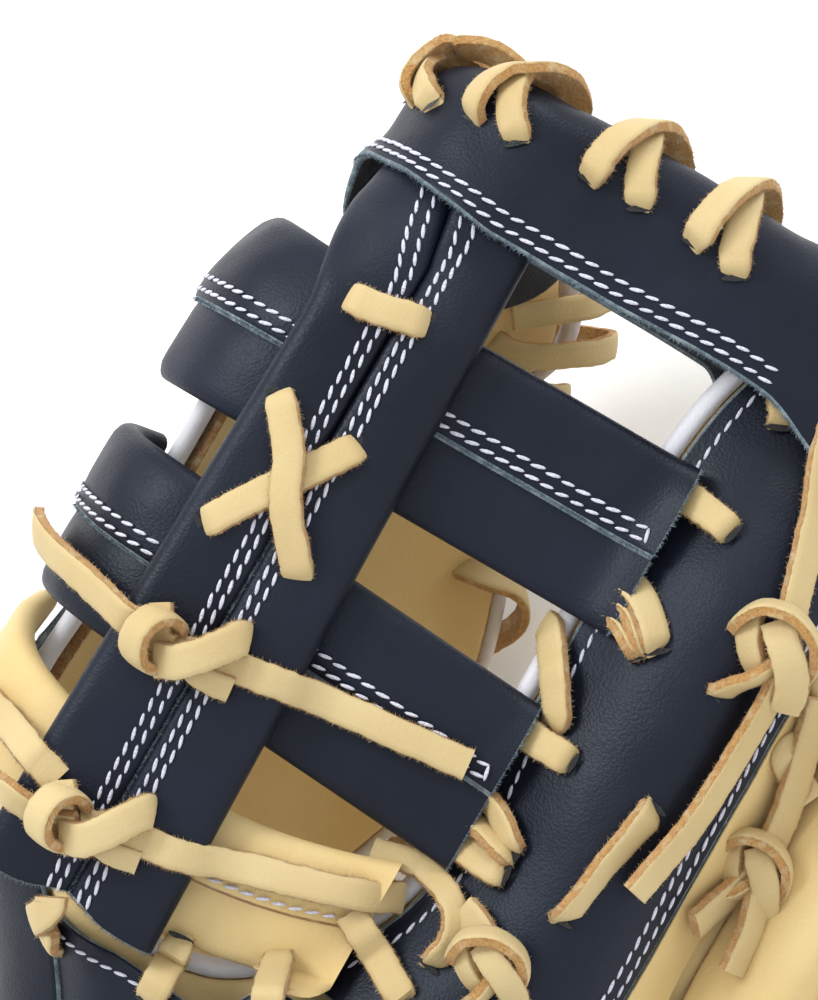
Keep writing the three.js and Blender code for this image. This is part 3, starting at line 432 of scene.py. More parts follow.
def skin(name, outer, inner, looks, nodes, record_slot, round_off=0.35, raw=False):
    """A closed leather piece between two grids. looks are face, cut edge and inner face."""
    m, n = outer.shape[:2]
    loop = border(m, n)
    rows, columns = np.array([p[0] for p in loop]), np.array([p[1] for p in loop])
    inside_row = np.clip(rows, 1, m - 2)
    inside_column = np.clip(columns, 1, n - 2)
    out = unit(outer[rows, columns] - outer[inside_row, inside_column])
    thick = np.linalg.norm(outer[rows, columns] - inner[rows, columns], axis=-1, keepdims=True)
    down = (inner[rows, columns] - outer[rows, columns]) / np.maximum(thick, 1e-6)
    shoulder = outer[rows, columns] + down * round_off
    shoulder_in = inner[rows, columns] - down * round_off
    outer, inner = outer.copy(), inner.copy()
    outer[rows, columns] -= out * round_off
    inner[rows, columns] -= out * round_off
    points = np.vstack([outer.reshape(-1, 3), inner.reshape(-1, 3), shoulder, shoulder_in])
    a, b = m * n, 2 * m * n
    c = b + len(loop)
    index = lambda i, j: i * n + j
    faces, slots = [], []
    for i in range(m - 1):
        for j in range(n - 1):
            quad = [index(i, j), index(i + 1, j), index(i + 1, j + 1), index(i, j + 1)]
            faces += [quad, [a + q for q in quad][::-1]]
            slots += [0, 2 if len(looks) > 2 else 0]
    for k in range(len(loop)):
        l = (k + 1) % len(loop)
        p, q = index(*loop[k]), index(*loop[l])
        faces += [[p, q, b + l, b + k], [b + k, b + l, c + l, c + k], [c + k, c + l, a + q, a + p]]
        slots += [1 if raw else 0, 1, 1]
    return new_piece(name, points, faces, looks, slots, nodes, record_slot)


def wrap(rows, count):
    """The four-sided faces between rows rings of count points each."""
    r, k = np.meshgrid(np.arange(rows - 1), np.arange(count), indexing="ij")
    l = (k + 1) % count
    near, far = r * count, (r + 1) * count
    return np.stack([near + k, near + l, far + l, far + k], -1).reshape(-1, 4).tolist()


def loops(name, rings, looks, slots_of, nodes, record_slot, sharp=50):
    """A closed tube through rings of equal count. slots_of gives the look of each side of the ring."""
    rings = np.array(rings)
    count = rings.shape[1]
    faces, slots = wrap(len(rings), count), list(slots_of) * (len(rings) - 1)
    points = np.vstack([rings.reshape(-1, 3), rings[0].mean(0), rings[-1].mean(0)])
    for base, centre in ((0, len(points) - 2), ((len(rings) - 1) * count, len(points) - 1)):
        for k in range(count):
            faces.append([base + k, base + (k + 1) % count, centre])
            slots.append(max(slots_of))
    return new_piece(name, points, faces, looks, slots, nodes, record_slot, sharp)


stitch_rows, navy_edges = [], []


def frayed(line, way):
    """Notes a cut edge of navy leather, with the direction or directions that its fibres lean out in."""
    navy_edges.append((line, unit(way + 0 * line)))


def stitch(surface, spots):
    """Notes a row of stitches along spots (u, z) of a surface, a function of u and z to a lift."""
    spots = np.array(spots, float)
    u, z = spots[:, 0], spots[:, 1]
    at = lambda p, q: sheet(p, q, surface(p, q))
    normal = unit(np.cross(at(u + 0.6, z) - at(u - 0.6, z), at(u, z + 0.6) - at(u, z - 0.6)))
    stitch_rows.append((at(u, z) + normal * 0.12, normal))


# %% [markdown]
# ## Palm
# The palm is two leathers with padding between them, so its wall is 5.5 mm at the edges and 8.5 mm in the
# middle. A padded surface is never quite even, which a slow ripple gives.

# %% Palm
outer, inner, spots = palm_grid(np.linspace(0, LAST, 181), 44)
inner = inner + outward(spots[..., 0], spots[..., 1]) * ripple(inner, 24, 0.9, 7)[..., None]
palm = skin("palm", outer, inner, [palm_tan, tan_raw, palm_tan], ["palm_shell"], "tan_leather", 0.9)
print("palm faces:", len(palm.data.polygons))

# %% [markdown]
# ## Backs and stalls
# Each finger lies under its own stall, an arch of 2 mm leather that closes towards the tip. The index
# stall is navy with a raw edge, sewn down on a tan strip.

# %% Heights of the backs
RAIL_FRONT, RAIL_BACK, RAIL_TIP_BACK = 13.5, 4.5, 14.4
rail_rows = [(-0.7, 0.275, 0.205), (-0.36, 0.3, 0.215), (-0.1, 0.327, 0.228), (0.35, 0.335, 0.229),
             (0.74, 0.338, 0.229), (0.91, 0.339, 0.208), (1.05, 0.339, 0.2), (1.22, 0.332, 0.245)]
rail_top_share = through([r[0] for r in rail_rows], [r[1] for r in rail_rows])
rail_low_share = through([r[0] for r in rail_rows], [r[2] for r in rail_rows])
rail_top = lambda u: rail_top_share(u / WEB) * LENGTH
rail_low = lambda u: rail_low_share(u / WEB) * LENGTH
STALL_BASE, WRIST = -78.0, -198.0
SEAM, STITCH_LINE = 0.6, 1.2  # a panel stops this far from an edge, and two panels this far apart
STALL_JOIN, WRIST_JOIN, TIP_ROUND, STALL_HEIGHT = 13.0, 18.2, 34.0, 15.0
THUMB_SEAT = 1.2


def smooth(x, low, high):
    t = np.clip((x - low) / (high - low), 0, 1)
    return t * t * (3 - 2 * t)


lerp = lambda a, b, t: a + (b - a) * t
arch = lambda w, left, right, middle: lerp(left, right, w) + (middle - lerp(left, right, w)) * np.sin(
    math.pi * np.clip(w, 0, 1)) ** 1.15
tip_rise = lambda distance: np.sqrt(1 - (1 - np.clip(distance / TIP_ROUND, 0, 1)) ** 2)
stall_join = lambda z: STALL_JOIN * (1 - smooth(z, STALL_BASE, -35))
wrist_join = lambda z: WRIST_JOIN * (1 - smooth(z, WRIST, STALL_BASE - 39))
index_left = lambda z: finger_notch(z) + SEAM
index_right = lambda z: np.minimum(index_left(np.maximum(z, 0)) + 55, 0.605 * FINGER_REACH - SEAM)
stall_rows = {"middle_back": (0.605, 0.745, 0.287), "ring_back": (0.748, 0.872, 0.246),
              "little_back": (0.875, 0.995, 0.195)}


def index_hollow(u, z):
    left, right = index_left(z), index_right(z)
    under = lerp(17, RAIL_FRONT - 6, smooth(z, 30, rail_low(left)))
    return arch((u - left) / (right - left), 0, stall_join(z), under * tip_rise(0.3 * LENGTH - z))


index_top = lambda u, z: GAP + WALL + index_hollow(u, z)
thumb_in = lambda z: np.where(z > crotch[1] + 6, thumb_notch(z), seam(z)) - SEAM
thumb_out = lambda z: thumb_rim(z) + SEAM


def thumb_hollow(w, z):
    full = lerp(20, RAIL_FRONT - 6, smooth(z, 20, rail_low(-0.7 * WEB)))
    return arch(w, wrist_join(z), 0, full * tip_rise(0.25 * LENGTH - z))


thumb_top = lambda u, z: THUMB_SEAT + WALL + thumb_hollow((u - thumb_in(z)) / (thumb_out(z) - thumb_in(z)), z)
hand_left = lambda z: seam(z) + SEAM
hand_right = lambda z: finger_rim(z) - SEAM
hand_hollow = lambda w, z: arch(w, wrist_join(z), 0, lerp(24, 15, smooth(z, crotch[1] + 4, STALL_BASE - 40)))
hand_top = lambda u, z: GAP + WALL + hand_hollow((u - hand_left(z)) / (hand_right(z) - hand_left(z)), z)
stall_hollow = lambda w, left, right, distance: arch(w, left, right, STALL_HEIGHT * tip_rise(distance))


def back_top(u, z):
    """The outer face of whatever back lies at one place; the notch has none."""
    if z > crotch[1] - SEAM:
        if u < thumb_in(z):
            return thumb_top(u, z)
        if u < index_left(z):
            return -0.8
        if z > STALL_BASE and u < index_right(z):
            return index_top(u, z)
        for left, right, tip in stall_rows.values():
            if z > STALL_BASE and u < right * FINGER_REACH:
                w = (u / FINGER_REACH - left) / (right - left)
                return GAP + WALL + stall_hollow(w, stall_join(z), stall_join(z), tip * LENGTH - z)
    return hand_top(u, z)


# %% Navy and tan backs
def back_piece(name, u, z, lift, looks, node, slot, seed=0.0, bumps=0.45):
    base = sheet(u, z, lift)
    edge = np.ones_like(u)
    edge[[0, -1], :], edge[:, [0, -1]] = 0, 0
    uneven = waves(base, (16, bumps, seed), (6, bumps * 0.3, seed + 3)) * edge
    return skin(name, sheet(u, z, lift + WALL + uneven), sheet(u, z, lift), looks, [node], slot, 0.45,
                name == "index_back")


def shares(across, along):
    return np.meshgrid(np.linspace(0, 1, across + 1), np.linspace(0, 1, along + 1))


def grid(top, low, across, along):
    i, j = shares(across, along)
    return i, lerp(top, low, j)


NAVY, TAN = [navy, navy_raw, navy_inside], [tan, tan_raw, tan_raw]
i, z = grid(0.3 * LENGTH, STALL_BASE, 56, 110)
for name, low, high, looks, slot in (("index_back", 0, 0.8, NAVY, "navy_leather"),
                                     ("index_side", 0.81, 1, TAN, "tan_leather")):
    u = lerp(index_left(z), index_right(z), lerp(low, high, i))
    u = u - 0.5 * (1 - i) * (low == 0)
    back_piece(name, u, z, GAP + index_hollow(u, z), looks, name, slot, 1.0)
    if low == 0:
        u, z_line = u[:, -1] - 0.2, z[:, -1]
        lift = GAP + WALL + index_hollow(u, z_line)
        frayed(sheet(u, z_line, lift - 0.7), sheet(u + 1, z_line, lift + 0.5) - sheet(u, z_line, lift))
for k, (name, (left, right, tip)) in enumerate(stall_rows.items()):
    i, z = grid(tip * LENGTH, STALL_BASE, 30, 90)
    edge = np.minimum(right * FINGER_REACH, finger_rim(z) - SEAM) - SEAM / 2
    u = lerp(left * FINGER_REACH + SEAM / 2, edge, i)
    foot = np.zeros_like(z) if name == "little_back" else stall_join(z)
    back_piece(name, u, z, GAP + stall_hollow(i, stall_join(z), foot, tip * LENGTH - z), TAN, name,
               "tan_leather", 2.0 + k)
i, z = grid(0.25 * LENGTH - GAP, WRIST, 60, 150)
i = i ** 1.2
u = lerp(thumb_in(z), thumb_out(z), i)
back_piece("thumb_back", u, z, THUMB_SEAT + thumb_hollow(i, z), NAVY, "thumb_back", "navy_leather", 6.0)


def hand_edge(share):
    """The hand back's upper edge: below the crotch on the thumb's side, below the stalls on the other."""
    low = STALL_BASE - STITCH_LINE
    near = lerp(hand_left(crotch[1]), hand_right(low), share)
    return lerp(crotch[1] - STITCH_LINE, low, smooth(near, crotch[0] + 20, crotch[0] + 42))


i, j = shares(80, 60)
z = lerp(hand_edge(i), WRIST, j)
u = lerp(hand_left(z), hand_right(z), i)
back_piece("hand_back", u, z, GAP + hand_hollow(i, z), NAVY, "hand_back", "navy_leather", 8.0)
STRAP_LOW, STRAP_WIDTH = WRIST + 12, 26.0
i, j = shares(40, 8)
z = STRAP_LOW + STRAP_WIDTH * j
w = lerp(0.14, 0.86, i)
u = lerp(hand_left(z), hand_right(z), w)
back_piece("wrist_strap", u, z, GAP + hand_hollow(w, z) + WALL + 4 * GAP, TAN, "wrist_strap", "tan_leather",
           9.0, 0.2)
print("backs made:", 8)

# %% Rows of stitches on the backs
rows_z = np.linspace(88, -70, 90)
edge_u = lambda share: lerp(index_left(rows_z), index_right(rows_z), 0.8) - share
for row_u in (edge_u(2.2), edge_u(4.7), index_left(rows_z) + 3.0):
    stitch(index_top, np.c_[row_u, rows_z])
rows_z = np.linspace(70, crotch[1] + 12, 60)
stitch(thumb_top, np.c_[thumb_in(rows_z) - 3.0, rows_z])
w = np.linspace(0.02, 0.98, 90)
top_z = hand_edge(w) - 3
stitch(hand_top, np.c_[lerp(hand_left(top_z), hand_right(top_z), w), top_z])
for inset in (2.5, STRAP_WIDTH - 2.5):
    z = np.full(60, STRAP_LOW + inset)
    u = lerp(hand_left(z), hand_right(z), np.linspace(0.15, 0.85, 60))
    stitch(lambda u, z: hand_top(u, z) + WALL + 4 * GAP, np.c_[u, z])
print("rows so far:", len(stitch_rows))

# %% [markdown]
# ## Piping
# Piping is a cord in a strip of white leather, sewn into the edge of the palm. It is a round tube along the
# outline, just outside the palm's edge.


# %% Piping
PIPING_RADIUS, PIPING_AWAY, PIPING_LIFT = 2.2, 2.4, -1.7


def piping(name, line, other, from_row, to_row, steps):
    rows = np.linspace(from_row, to_row, steps)
    edge = on(line, rows)
    along = unit(on(line, np.minimum(rows + 0.02, LAST)) - on(line, np.maximum(rows - 0.02, 0)))
    away = np.stack([-along[:, 1], along[:, 0]], -1)
    away *= np.sign(np.sum(away * (edge - on(other, rows)), -1, keepdims=True))
    spots = edge + away * PIPING_AWAY
    centre = sheet(spots[:, 0], spots[:, 1], PIPING_LIFT)
    tangent = unit(np.gradient(centre, axis=0))
    up_way = square(outward(spots[:, 0], spots[:, 1]), tangent)
    across = np.cross(tangent, up_way)
    angle = np.linspace(0, 2 * math.pi, 17)[:-1]
    rings = centre[:, None] + PIPING_RADIUS * (up_way[:, None] * np.cos(angle)[None, :, None]
                                               + across[:, None] * np.sin(angle)[None, :, None])
    return loops(name, rings, [piping_white], [0] * 16, [name], "white_piping", 80)


piping("web_piping", notch, rim, 0, LAST, 420)
piping("thumb_rim_piping", rim, notch, 0, 4, 160)
piping("finger_rim_piping", rim, notch, 10, LAST, 240)
print("piping done")

# %% [markdown]
# ## Rail
# The rail is one strip of navy leather folded over the top of the web. Its front edge is left raw and sewn
# down with two rows of stitches. Its back layer is longer over the thumb and the tips, and shorter over the
# web's window.


# %% Rail
FRONT_END, BACK_START = 0.34, 0.66  # where the fold over the top starts and ends
BACK_DROP, BACK_SHORT = 9.0, -1.5


def rail_back(u):
    tips = smooth(u, 30, 66) + 1 - smooth(u, -44, -19.8)
    return lerp(RAIL_BACK, RAIL_TIP_BACK, np.clip(tips, 0, 1))


def rail_point(u, q, lift=0.0):
    """The rail's outer face: q runs from the front's lower edge, over the top at 0.5, to the back's."""
    u, q, lift = np.broadcast_arrays(*(np.asarray(v, float) for v in (u, q, lift)))
    top, low = rail_top(u), rail_low(u)
    half, centre = (RAIL_FRONT + rail_back(u)) / 2, (RAIL_FRONT - rail_back(u)) / 2
    shoulder = top - half
    front = sheet(u, lerp(low, shoulder, q / FRONT_END), RAIL_FRONT + lift)
    window = smooth(u, -62, -38) * (1 - smooth(u, 60, 75))
    drop = lerp(BACK_DROP, BACK_SHORT, window)
    rear = sheet(u, lerp(shoulder, low - drop, (q - BACK_START) / FRONT_END), -rail_back(u) - lift)
    angle = np.clip((q - FRONT_END) / (BACK_START - FRONT_END), 0, 1) * math.pi
    over = sheet(u, shoulder + (half + lift) * np.sin(angle), centre + (half + lift) * np.cos(angle))
    return np.where((q < FRONT_END)[..., None], front, np.where((q > BACK_START)[..., None], rear, over))


def edge_wave(u, q):
    """The waviness of the raw front edge, which fades upwards."""
    return np.exp(-(q / 0.05) ** 2) * ripple(np.stack([u, u * 0, u * 0], -1), 9, 1.2, 40)


RAIL_WAVES = (18, 1.0, 12), (7, 0.25, 15)
q, u = np.meshgrid(np.r_[np.linspace(0, FRONT_END, 22)[:-1], np.linspace(FRONT_END, BACK_START, 26),
                         np.linspace(BACK_START, 1, 18)[1:]], np.linspace(-0.7 * WEB, 1.22 * WEB, 130))
uneven = waves(rail_point(u, q), *RAIL_WAVES)
uneven[[0, -1], :] = 0
uneven += edge_wave(u, q)
lobe = 9 * np.exp(-((u + 37) / 9) ** 4) * np.clip(1 - q / 0.16, 0, 1)
outer, inner = rail_point(u, q, uneven - lobe * 0.35), rail_point(u, q, uneven - WALL - lobe * 0.35)
outer[..., 2] -= lobe
inner[..., 2] -= lobe
skin("top_rail", outer, inner, NAVY, ["top_rail"], "navy_leather", 0.6, True)
frayed(rail_point(u[:, 0], 0.0, uneven[:, 0] - 0.7), (0.0, -0.35, -1.0))
for above in (2.3, 5.1):
    u = np.linspace(-0.66 * WEB, 0.73 * WEB, 160)
    share = above / (rail_top(u) - (RAIL_FRONT + rail_back(u)) / 2 - rail_low(u)) * FRONT_END
    bump = waves(rail_point(u, share), *RAIL_WAVES) + edge_wave(u, share)
    normal = outward(u, rail_low(u))
    stitch_rows.append((rail_point(u, share, bump) + normal * 0.2, normal))
print("rail lengths:", round(float(rail_top(0) - rail_low(0)), 1), "mm tall at the post")

# %% [markdown]
# ## Bars
# Each bar is a strip folded flat into a tube. Its upper layer laps over the lower one and ends in a raw
# edge along the middle, held by two rows of stitches that turn back at the end.

# %% Bars
bars = {
    "upper_bar": dict(z=0.108, rise=0, sag=0, width=39, right=0.66 * WEB + 5, looks=NAVY,
                      slot="navy_leather"),
    "lower_bar": dict(z=-0.062, rise=-0.07, sag=0, width=39, right=0.645 * WEB + 2.5, looks=NAVY,
                      slot="navy_leather"),
    "base_bar": dict(z=-0.218, rise=0, sag=14, width=29.5, right=0.585 * WEB, looks=TAN, slot="tan_leather")}
BAR_THICK, BAR_SEAT, FLAP, LAP = 5.6, 3.0, 1.3, -0.03
SLEEVE_WALL = 1.5
HALF_TURN = np.linspace(-math.pi / 2, math.pi / 2, 11)[1:-1]
AROUND = [(0, 0), (1, 0), (-1, 0), (0, 1), (0, -1), (0.7, 0.7), (-0.7, 0.7), (0.7, -0.7), (-0.7, -0.7)]


def bar_z(bar, u):
    return bar["z"] * LENGTH + bar["rise"] * (u - WEB / 8) + bar["sag"] * ((u - WEB / 8) / (WEB * 0.58)) ** 2


def highest(surface, u, z, reach):
    return max(float(surface(u + a * reach, z + b * reach)) for a, b in AROUND)


def clear_of(u, z):
    return max(BAR_SEAT, highest(back_top, u, z, 2.0) + GAP)


def section(thick, inset):
    """A folded band's outline: across from -0.5 to 0.5, height, and the side's look."""
    out = [(LAP, thick - 0.3 - inset, 1), (LAP + 0.008, thick - inset, 0)]
    out += [(c, thick + 0.9 * math.sin(math.pi * (c - LAP) / 0.5) - inset, 0)
            for c in np.linspace(LAP + 0.035, 0.42, 12)]
    out += [(0.425 + 0.075 * math.cos(t), thick / 2 - (thick / 2 - inset) * math.sin(t), 0)
            for t in HALF_TURN]
    out += [(c, inset, 0) for c in np.linspace(0.42, -0.42, 16)]
    low_top = thick - FLAP
    out += [(-0.425 - 0.075 * math.cos(t), low_top / 2 + (low_top / 2 - inset) * math.sin(t), 0)
            for t in HALF_TURN]
    out += [(c, low_top + 0.5 * math.sin(math.pi * (c + 0.5) / 0.5) - inset, 0)
            for c in np.linspace(-0.42, LAP - 0.04, 10)]
    out += [(LAP - 0.02, low_top - inset + 0.1, 1)]
    return out


def bar_rings(bar, inset, steps):
    rings, lift_at = [], {}
    for s in np.linspace(0, 1, steps):
        ring = []
        for c, height, _ in section(BAR_THICK, inset):
            shift = c * (bar["width"] - 2 * inset)
            left = float(thumb_notch(bar_z(bar, -44) + shift)) - GAP
            u = lerp(left, bar["right"], s)
            z = float(bar_z(bar, u)) + shift
            key = (round(u, 1), round(z, 1))
            if key not in lift_at:
                lift_at[key] = clear_of(u, z)
            ring.append((u, z, lift_at[key] + height))
        rings.append(ring)
    rings = np.array(rings)
    lift = rings[..., 2].copy()
    for _ in range(3):
        lift[1:-1] = (lift[:-2] + 2 * lift[1:-1] + lift[2:]) / 4
    return np.stack([rings[..., 0], rings[..., 1], lift], -1)


def band(name, rings, inner, looks, slot, cut):
    """A sleeve with a wall: outer and inner rings and a cut face at both ends."""
    n, count = rings.shape[:2]
    points = np.vstack([rings.reshape(-1, 3), inner.reshape(-1, 3)])
    shift = n * count
    faces = wrap(n, count)
    faces += [[shift + v for v in quad][::-1] for quad in faces]
    slots = list(cut) * (n - 1) + [2] * (n - 1) * count
    for base in (0, (n - 1) * count):
        for k in range(count):
            l = (k + 1) % count
            faces.append([base + k, base + l, shift + base + l, shift + base + k])
            slots.append(1)
    return new_piece(name, points, faces, looks, slots, [name], slot, 42)


for number, (name, bar) in enumerate(bars.items()):
    outer_rings, inner_rings = bar_rings(bar, 0, 56), bar_rings(bar, SLEEVE_WALL, 56)
    points = sheet(outer_rings[..., 0], outer_rings[..., 1], outer_rings[..., 2])
    uneven = waves(points, (20, 1.1, 20 + number), (8, 0.35, 24 + number)) * (
        outer_rings[..., 2] - outer_rings[..., 2].min(1, keepdims=True)) / BAR_THICK
    points = sheet(outer_rings[..., 0], outer_rings[..., 1], outer_rings[..., 2] + uneven)
    inside = sheet(inner_rings[..., 0], inner_rings[..., 1], inner_rings[..., 2] + uneven)
    cut = [s for _, _, s in section(BAR_THICK, 0)]
    band(name, points, inside, bar["looks"], bar["slot"], cut)
    row = np.linspace(outer_rings[2, 6, 0], bar["right"] - 4.4, 70)
    turn_back = np.full(2, bar["right"] - 2.9)
    for u, above in ((row, 1.9), (row, 4.5), (turn_back, np.array([3.19, 3.21]))):
        lift = np.interp(u, outer_rings[:, 6, 0], outer_rings[:, 6, 2] + uneven[:, 6])
        z = bar_z(bar, u) + LAP * bar["width"] + above
        stitch_rows.append((sheet(u, z, lift + 0.25), outward(u, z)))
    if bar["looks"] is NAVY:
        frayed(points[:, 0], (0.0, -0.5, -1.0))
        frayed(points[-1, :24], (1.0, -0.4, 0.0))
        frayed(points[-1, -20:], (1.0, -0.4, 0.0))
print("bars:", list(bars))

# %% [markdown]
# ## Post
# The post is folded the other way: both edges of the strip meet in a slit down its face, with two rows of
# stitches on each side. Its top is tucked under the rail.

# %% Post
POST_HIGH, POST_LOW, POST_THICK = 0.262 * LENGTH, -0.271 * LENGTH, 5.6
POST_WIDE, POST_NARROW = 42.0, 34.0
POST_LIFT = BAR_SEAT + BAR_THICK + 6 * GAP
POST_TUCK = RAIL_FRONT - WALL - 4 * GAP - POST_THICK
post_base = lambda z: lerp(POST_LIFT, POST_TUCK, smooth(z, rail_low(0) - 26, rail_low(0) - 4))
post_width = lambda z: lerp(POST_WIDE, POST_NARROW, (z - POST_LOW) / (POST_HIGH - POST_LOW))


def over(u, z, lift=0.0):
    """A place over the post, which lies flat across the start of the fold."""
    u, z, lift = np.broadcast_arrays(*(np.asarray(v, float) for v in (u, z, lift)))
    start = fold(z)[1]
    bent, level = sheet(u, z, lift), sheet(start, z, lift)
    level[..., 0] = u
    half = post_width(z) / 2 + GAP
    away = np.maximum(smooth(-u, half, half + 14), 1 - smooth(z, POST_LOW - 6, POST_LOW))
    away = np.maximum(away, smooth(z, rail_low(0) - 34, rail_low(0) - 4))
    away = np.where(u >= start, 1.0, away)[..., None]
    return level * (1 - away) + bent * away


over_out = lambda u, z: unit(over(u, z, 1.0) - over(u, z, 0.0))


def post_outline(inset):
    thick = POST_THICK
    half = [(0.0, thick - 1.9 - inset * 0.2), (0.006, thick - 0.9 - inset), (0.018, thick - 0.25 - inset)]
    half += [(c, thick + 1.0 * math.sin(math.pi * c / 0.5) - inset) for c in np.linspace(0.035, 0.39, 12)]
    half += [(0.39 + 0.11 * math.cos(t), thick / 2 - (thick / 2 + 0.6 * (t < 0) - inset) * math.sin(t))
             for t in HALF_TURN]
    half += [(c, inset) for c in np.linspace(0.42, 0.05, 8)]
    left = [(-c, h) for c, h in reversed(half[1:])]
    return half + [(0.0, inset)] + left


outline = post_outline(0)
rings, inner_rings = [], []
for z in np.linspace(POST_LOW, POST_HIGH, 110):
    width = post_width(z)
    for target, inset in ((rings, 0), (inner_rings, SLEEVE_WALL)):
        target.append([(c * (width - 2 * inset), z, post_base(z) + h) for c, h in post_outline(inset)])
rings, inner_rings = np.array(rings), np.array(inner_rings)
end = np.clip(1 - (rings[..., 1] - POST_LOW) / 12, 0, 1)
notch_in = 3.0 * end * np.exp(-(rings[..., 0] / 7) ** 2)
for group in (rings, inner_rings):
    group[..., 1] += notch_in
flat = over(rings[..., 0], rings[..., 1], rings[..., 2])
uneven = waves(flat, (22, 1.0, 30), (8, 0.3, 33)) * (1 - 0.8 * smooth(rings[..., 1], 60, 76)) * 0.7
points = over(rings[..., 0], rings[..., 1], rings[..., 2] + uneven)
inside = over(inner_rings[..., 0], inner_rings[..., 1], inner_rings[..., 2] + uneven)
band("post", points, inside, NAVY, "navy_leather", [0] * len(outline))
frayed(points[0, :20], (0.0, -0.4, -1.0))
frayed(points[0, -20:], (0.0, -0.4, -1.0))
for k in (1, -1):
    frayed(points[:70:2, k] + [0, 0.2, 0], (-0.5 * k, -1.0, 0.0))
for off in (-4.6, -2.4, 2.4, 4.6):
    z = np.linspace(POST_LOW + 3.5, rail_low(0) + 2, 170)
    u = np.full_like(z, off)
    column = int(np.argmin(np.abs(np.array([c for c, _ in outline[:18]]) - abs(off) / 38)))
    lift = np.interp(z, rings[:, column, 1], rings[:, column, 2] + uneven[:, column])
    stitch_rows.append((over(u, z, lift + 0.2), over_out(u, z)))
print("post rings:", len(rings))

# %% [markdown]
# ## Laces
# Laces are rawhide, 6 to 7 mm wide and 2.5 mm thick, with a smooth grain face and fuzzy cut sides. Each is a
# flat strap along a curve. Laid laces rest on whatever lies below, which the sheet's own heights give.


# %% Laces
def top_at(u, z):
    top = float(back_top(u, z))
    for bar in bars.values():
        if abs(z - bar_z(bar, u)) < bar["width"] / 2 + 1 and thumb_notch(z) - 1 < u < bar["right"] + 1:
            top = max(top, clear_of(u, z) + BAR_THICK)
    share = (z - POST_LOW) / (POST_HIGH - POST_LOW)
    if -0.01 < share < 1 and abs(u) < post_width(z) / 2 + 1:
        top = max(top, float(post_base(z)) + POST_THICK)
    return top


fluff_lines, slits = [], []
LACE = [lace_grain, lace_suede]
SINK_REACH, SINK_DEPTH, SINK_NARROWING = 3.0, 3.6, 0.22


def strap(name, points, ups, nodes, width=6.0, thick=2.5, step=1.0, twist=0.0, ends="cc", bristle=True):
    """A lace along points in web millimetres, its grain face towards ups and turned by twist degrees.

    ends says for each end whether it goes into a slit (s) or is cut off (c)."""
    points, ups = np.array(points, float), np.array(ups, float)
    length = np.linalg.norm(np.diff(points, axis=0), axis=1).sum()
    count = max(10, int(length / step))
    both = curve(np.hstack([points, ups * 10]), count)
    centre, up_way = both[:, :3], unit(both[:, 3:])
    arc = np.r_[0, np.cumsum(np.linalg.norm(np.diff(centre, axis=0), axis=1))]
    narrow = np.ones(len(arc))
    for end, reach, k in ((ends[0], arc, 0), (ends[1], arc[-1] - arc, -1)):
        if end == "s":
            near = 1 - smooth(reach, 0, SINK_REACH)
            ahead = unit(centre[k] - centre[2 if k == 0 else -3])
            slits.append((centre[k] - up_way[k] * (thick / 2 - 0.5), np.cross(ahead, up_way[k]), up_way[k]))
            centre = centre - up_way * (SINK_DEPTH * near)[:, None]
            narrow *= 1 - SINK_NARROWING * near
    tangent = unit(np.gradient(centre, axis=0))
    up_way = square(up_way, tangent)
    across = np.cross(tangent, up_way)
    angle = np.radians(np.interp(np.linspace(0, 1, len(arc)), np.linspace(0, 1, np.size(twist)),
                                 np.ravel(twist)))
    up_way = up_way * np.cos(angle)[:, None] + across * np.sin(angle)[:, None]
    across = np.cross(tangent, up_way)
    seed = len(fluff_lines) * 1.7
    w, t = width / 2 * narrow, thick / 2
    edge = [w + waves(centre, (5, 0.2, seed + k), (1.1, 0.3, seed + 3 + k)) for k in (0, 9)]
    shape = [(-1, 0.6), (-0.93, 0.92), (-0.6, 1.05), (0, 1.12), (0.6, 1.05), (0.93, 0.92), (1, 0.6),
             (1.03, -0.1), (0.98, -0.9), (0.5, -1), (-0.5, -1), (-0.98, -0.9), (-1.03, -0.1)]
    rings = np.concatenate([centre[:, None] + across[:, None] * (a * edge[int(a > 0)])[:, None, None]
                            + up_way[:, None] * (t * b) for a, b in shape], axis=1)
    look = [0, 0, 0, 0, 0, 0, 1, 1, 1, 1, 1, 1, 1]
    for k in (0, 6, 8, 11) if bristle else ():
        fluff_lines.append((rings[:, k], unit(across * (1 if k in (6, 8) else -1) + up_way * 0.2)))
    return loops(name, rings, LACE, look, nodes, "lace_rawhide", 55)


def lay(name, rows, nodes, width=6.6, **more):
    """A lace over whatever lies below. Rows are u in shares of WEB, z of LENGTH, an extra lift, and 1 where
    the lace runs under the web and only rests on the backs."""
    spots = curve([[r[0] * WEB, r[1] * LENGTH, *r[2:], *([0.0] * (4 - len(r)))] for r in rows], len(rows) * 3)
    heights = np.array([lerp(highest(top_at, a, b, 2.0), highest(back_top, a, b, 2.0),
                             min(max(under, 0), 1)) for a, b, _, under in spots])
    heights[1:-1] = (heights[:-2] + heights[1:-1] * 2 + heights[2:]) / 4
    points = over(spots[:, 0], spots[:, 1], heights + GAP + 1.0 + spots[:, 2])
    return strap(name, points, over_out(spots[:, 0], spots[:, 1]), nodes, width, **more)


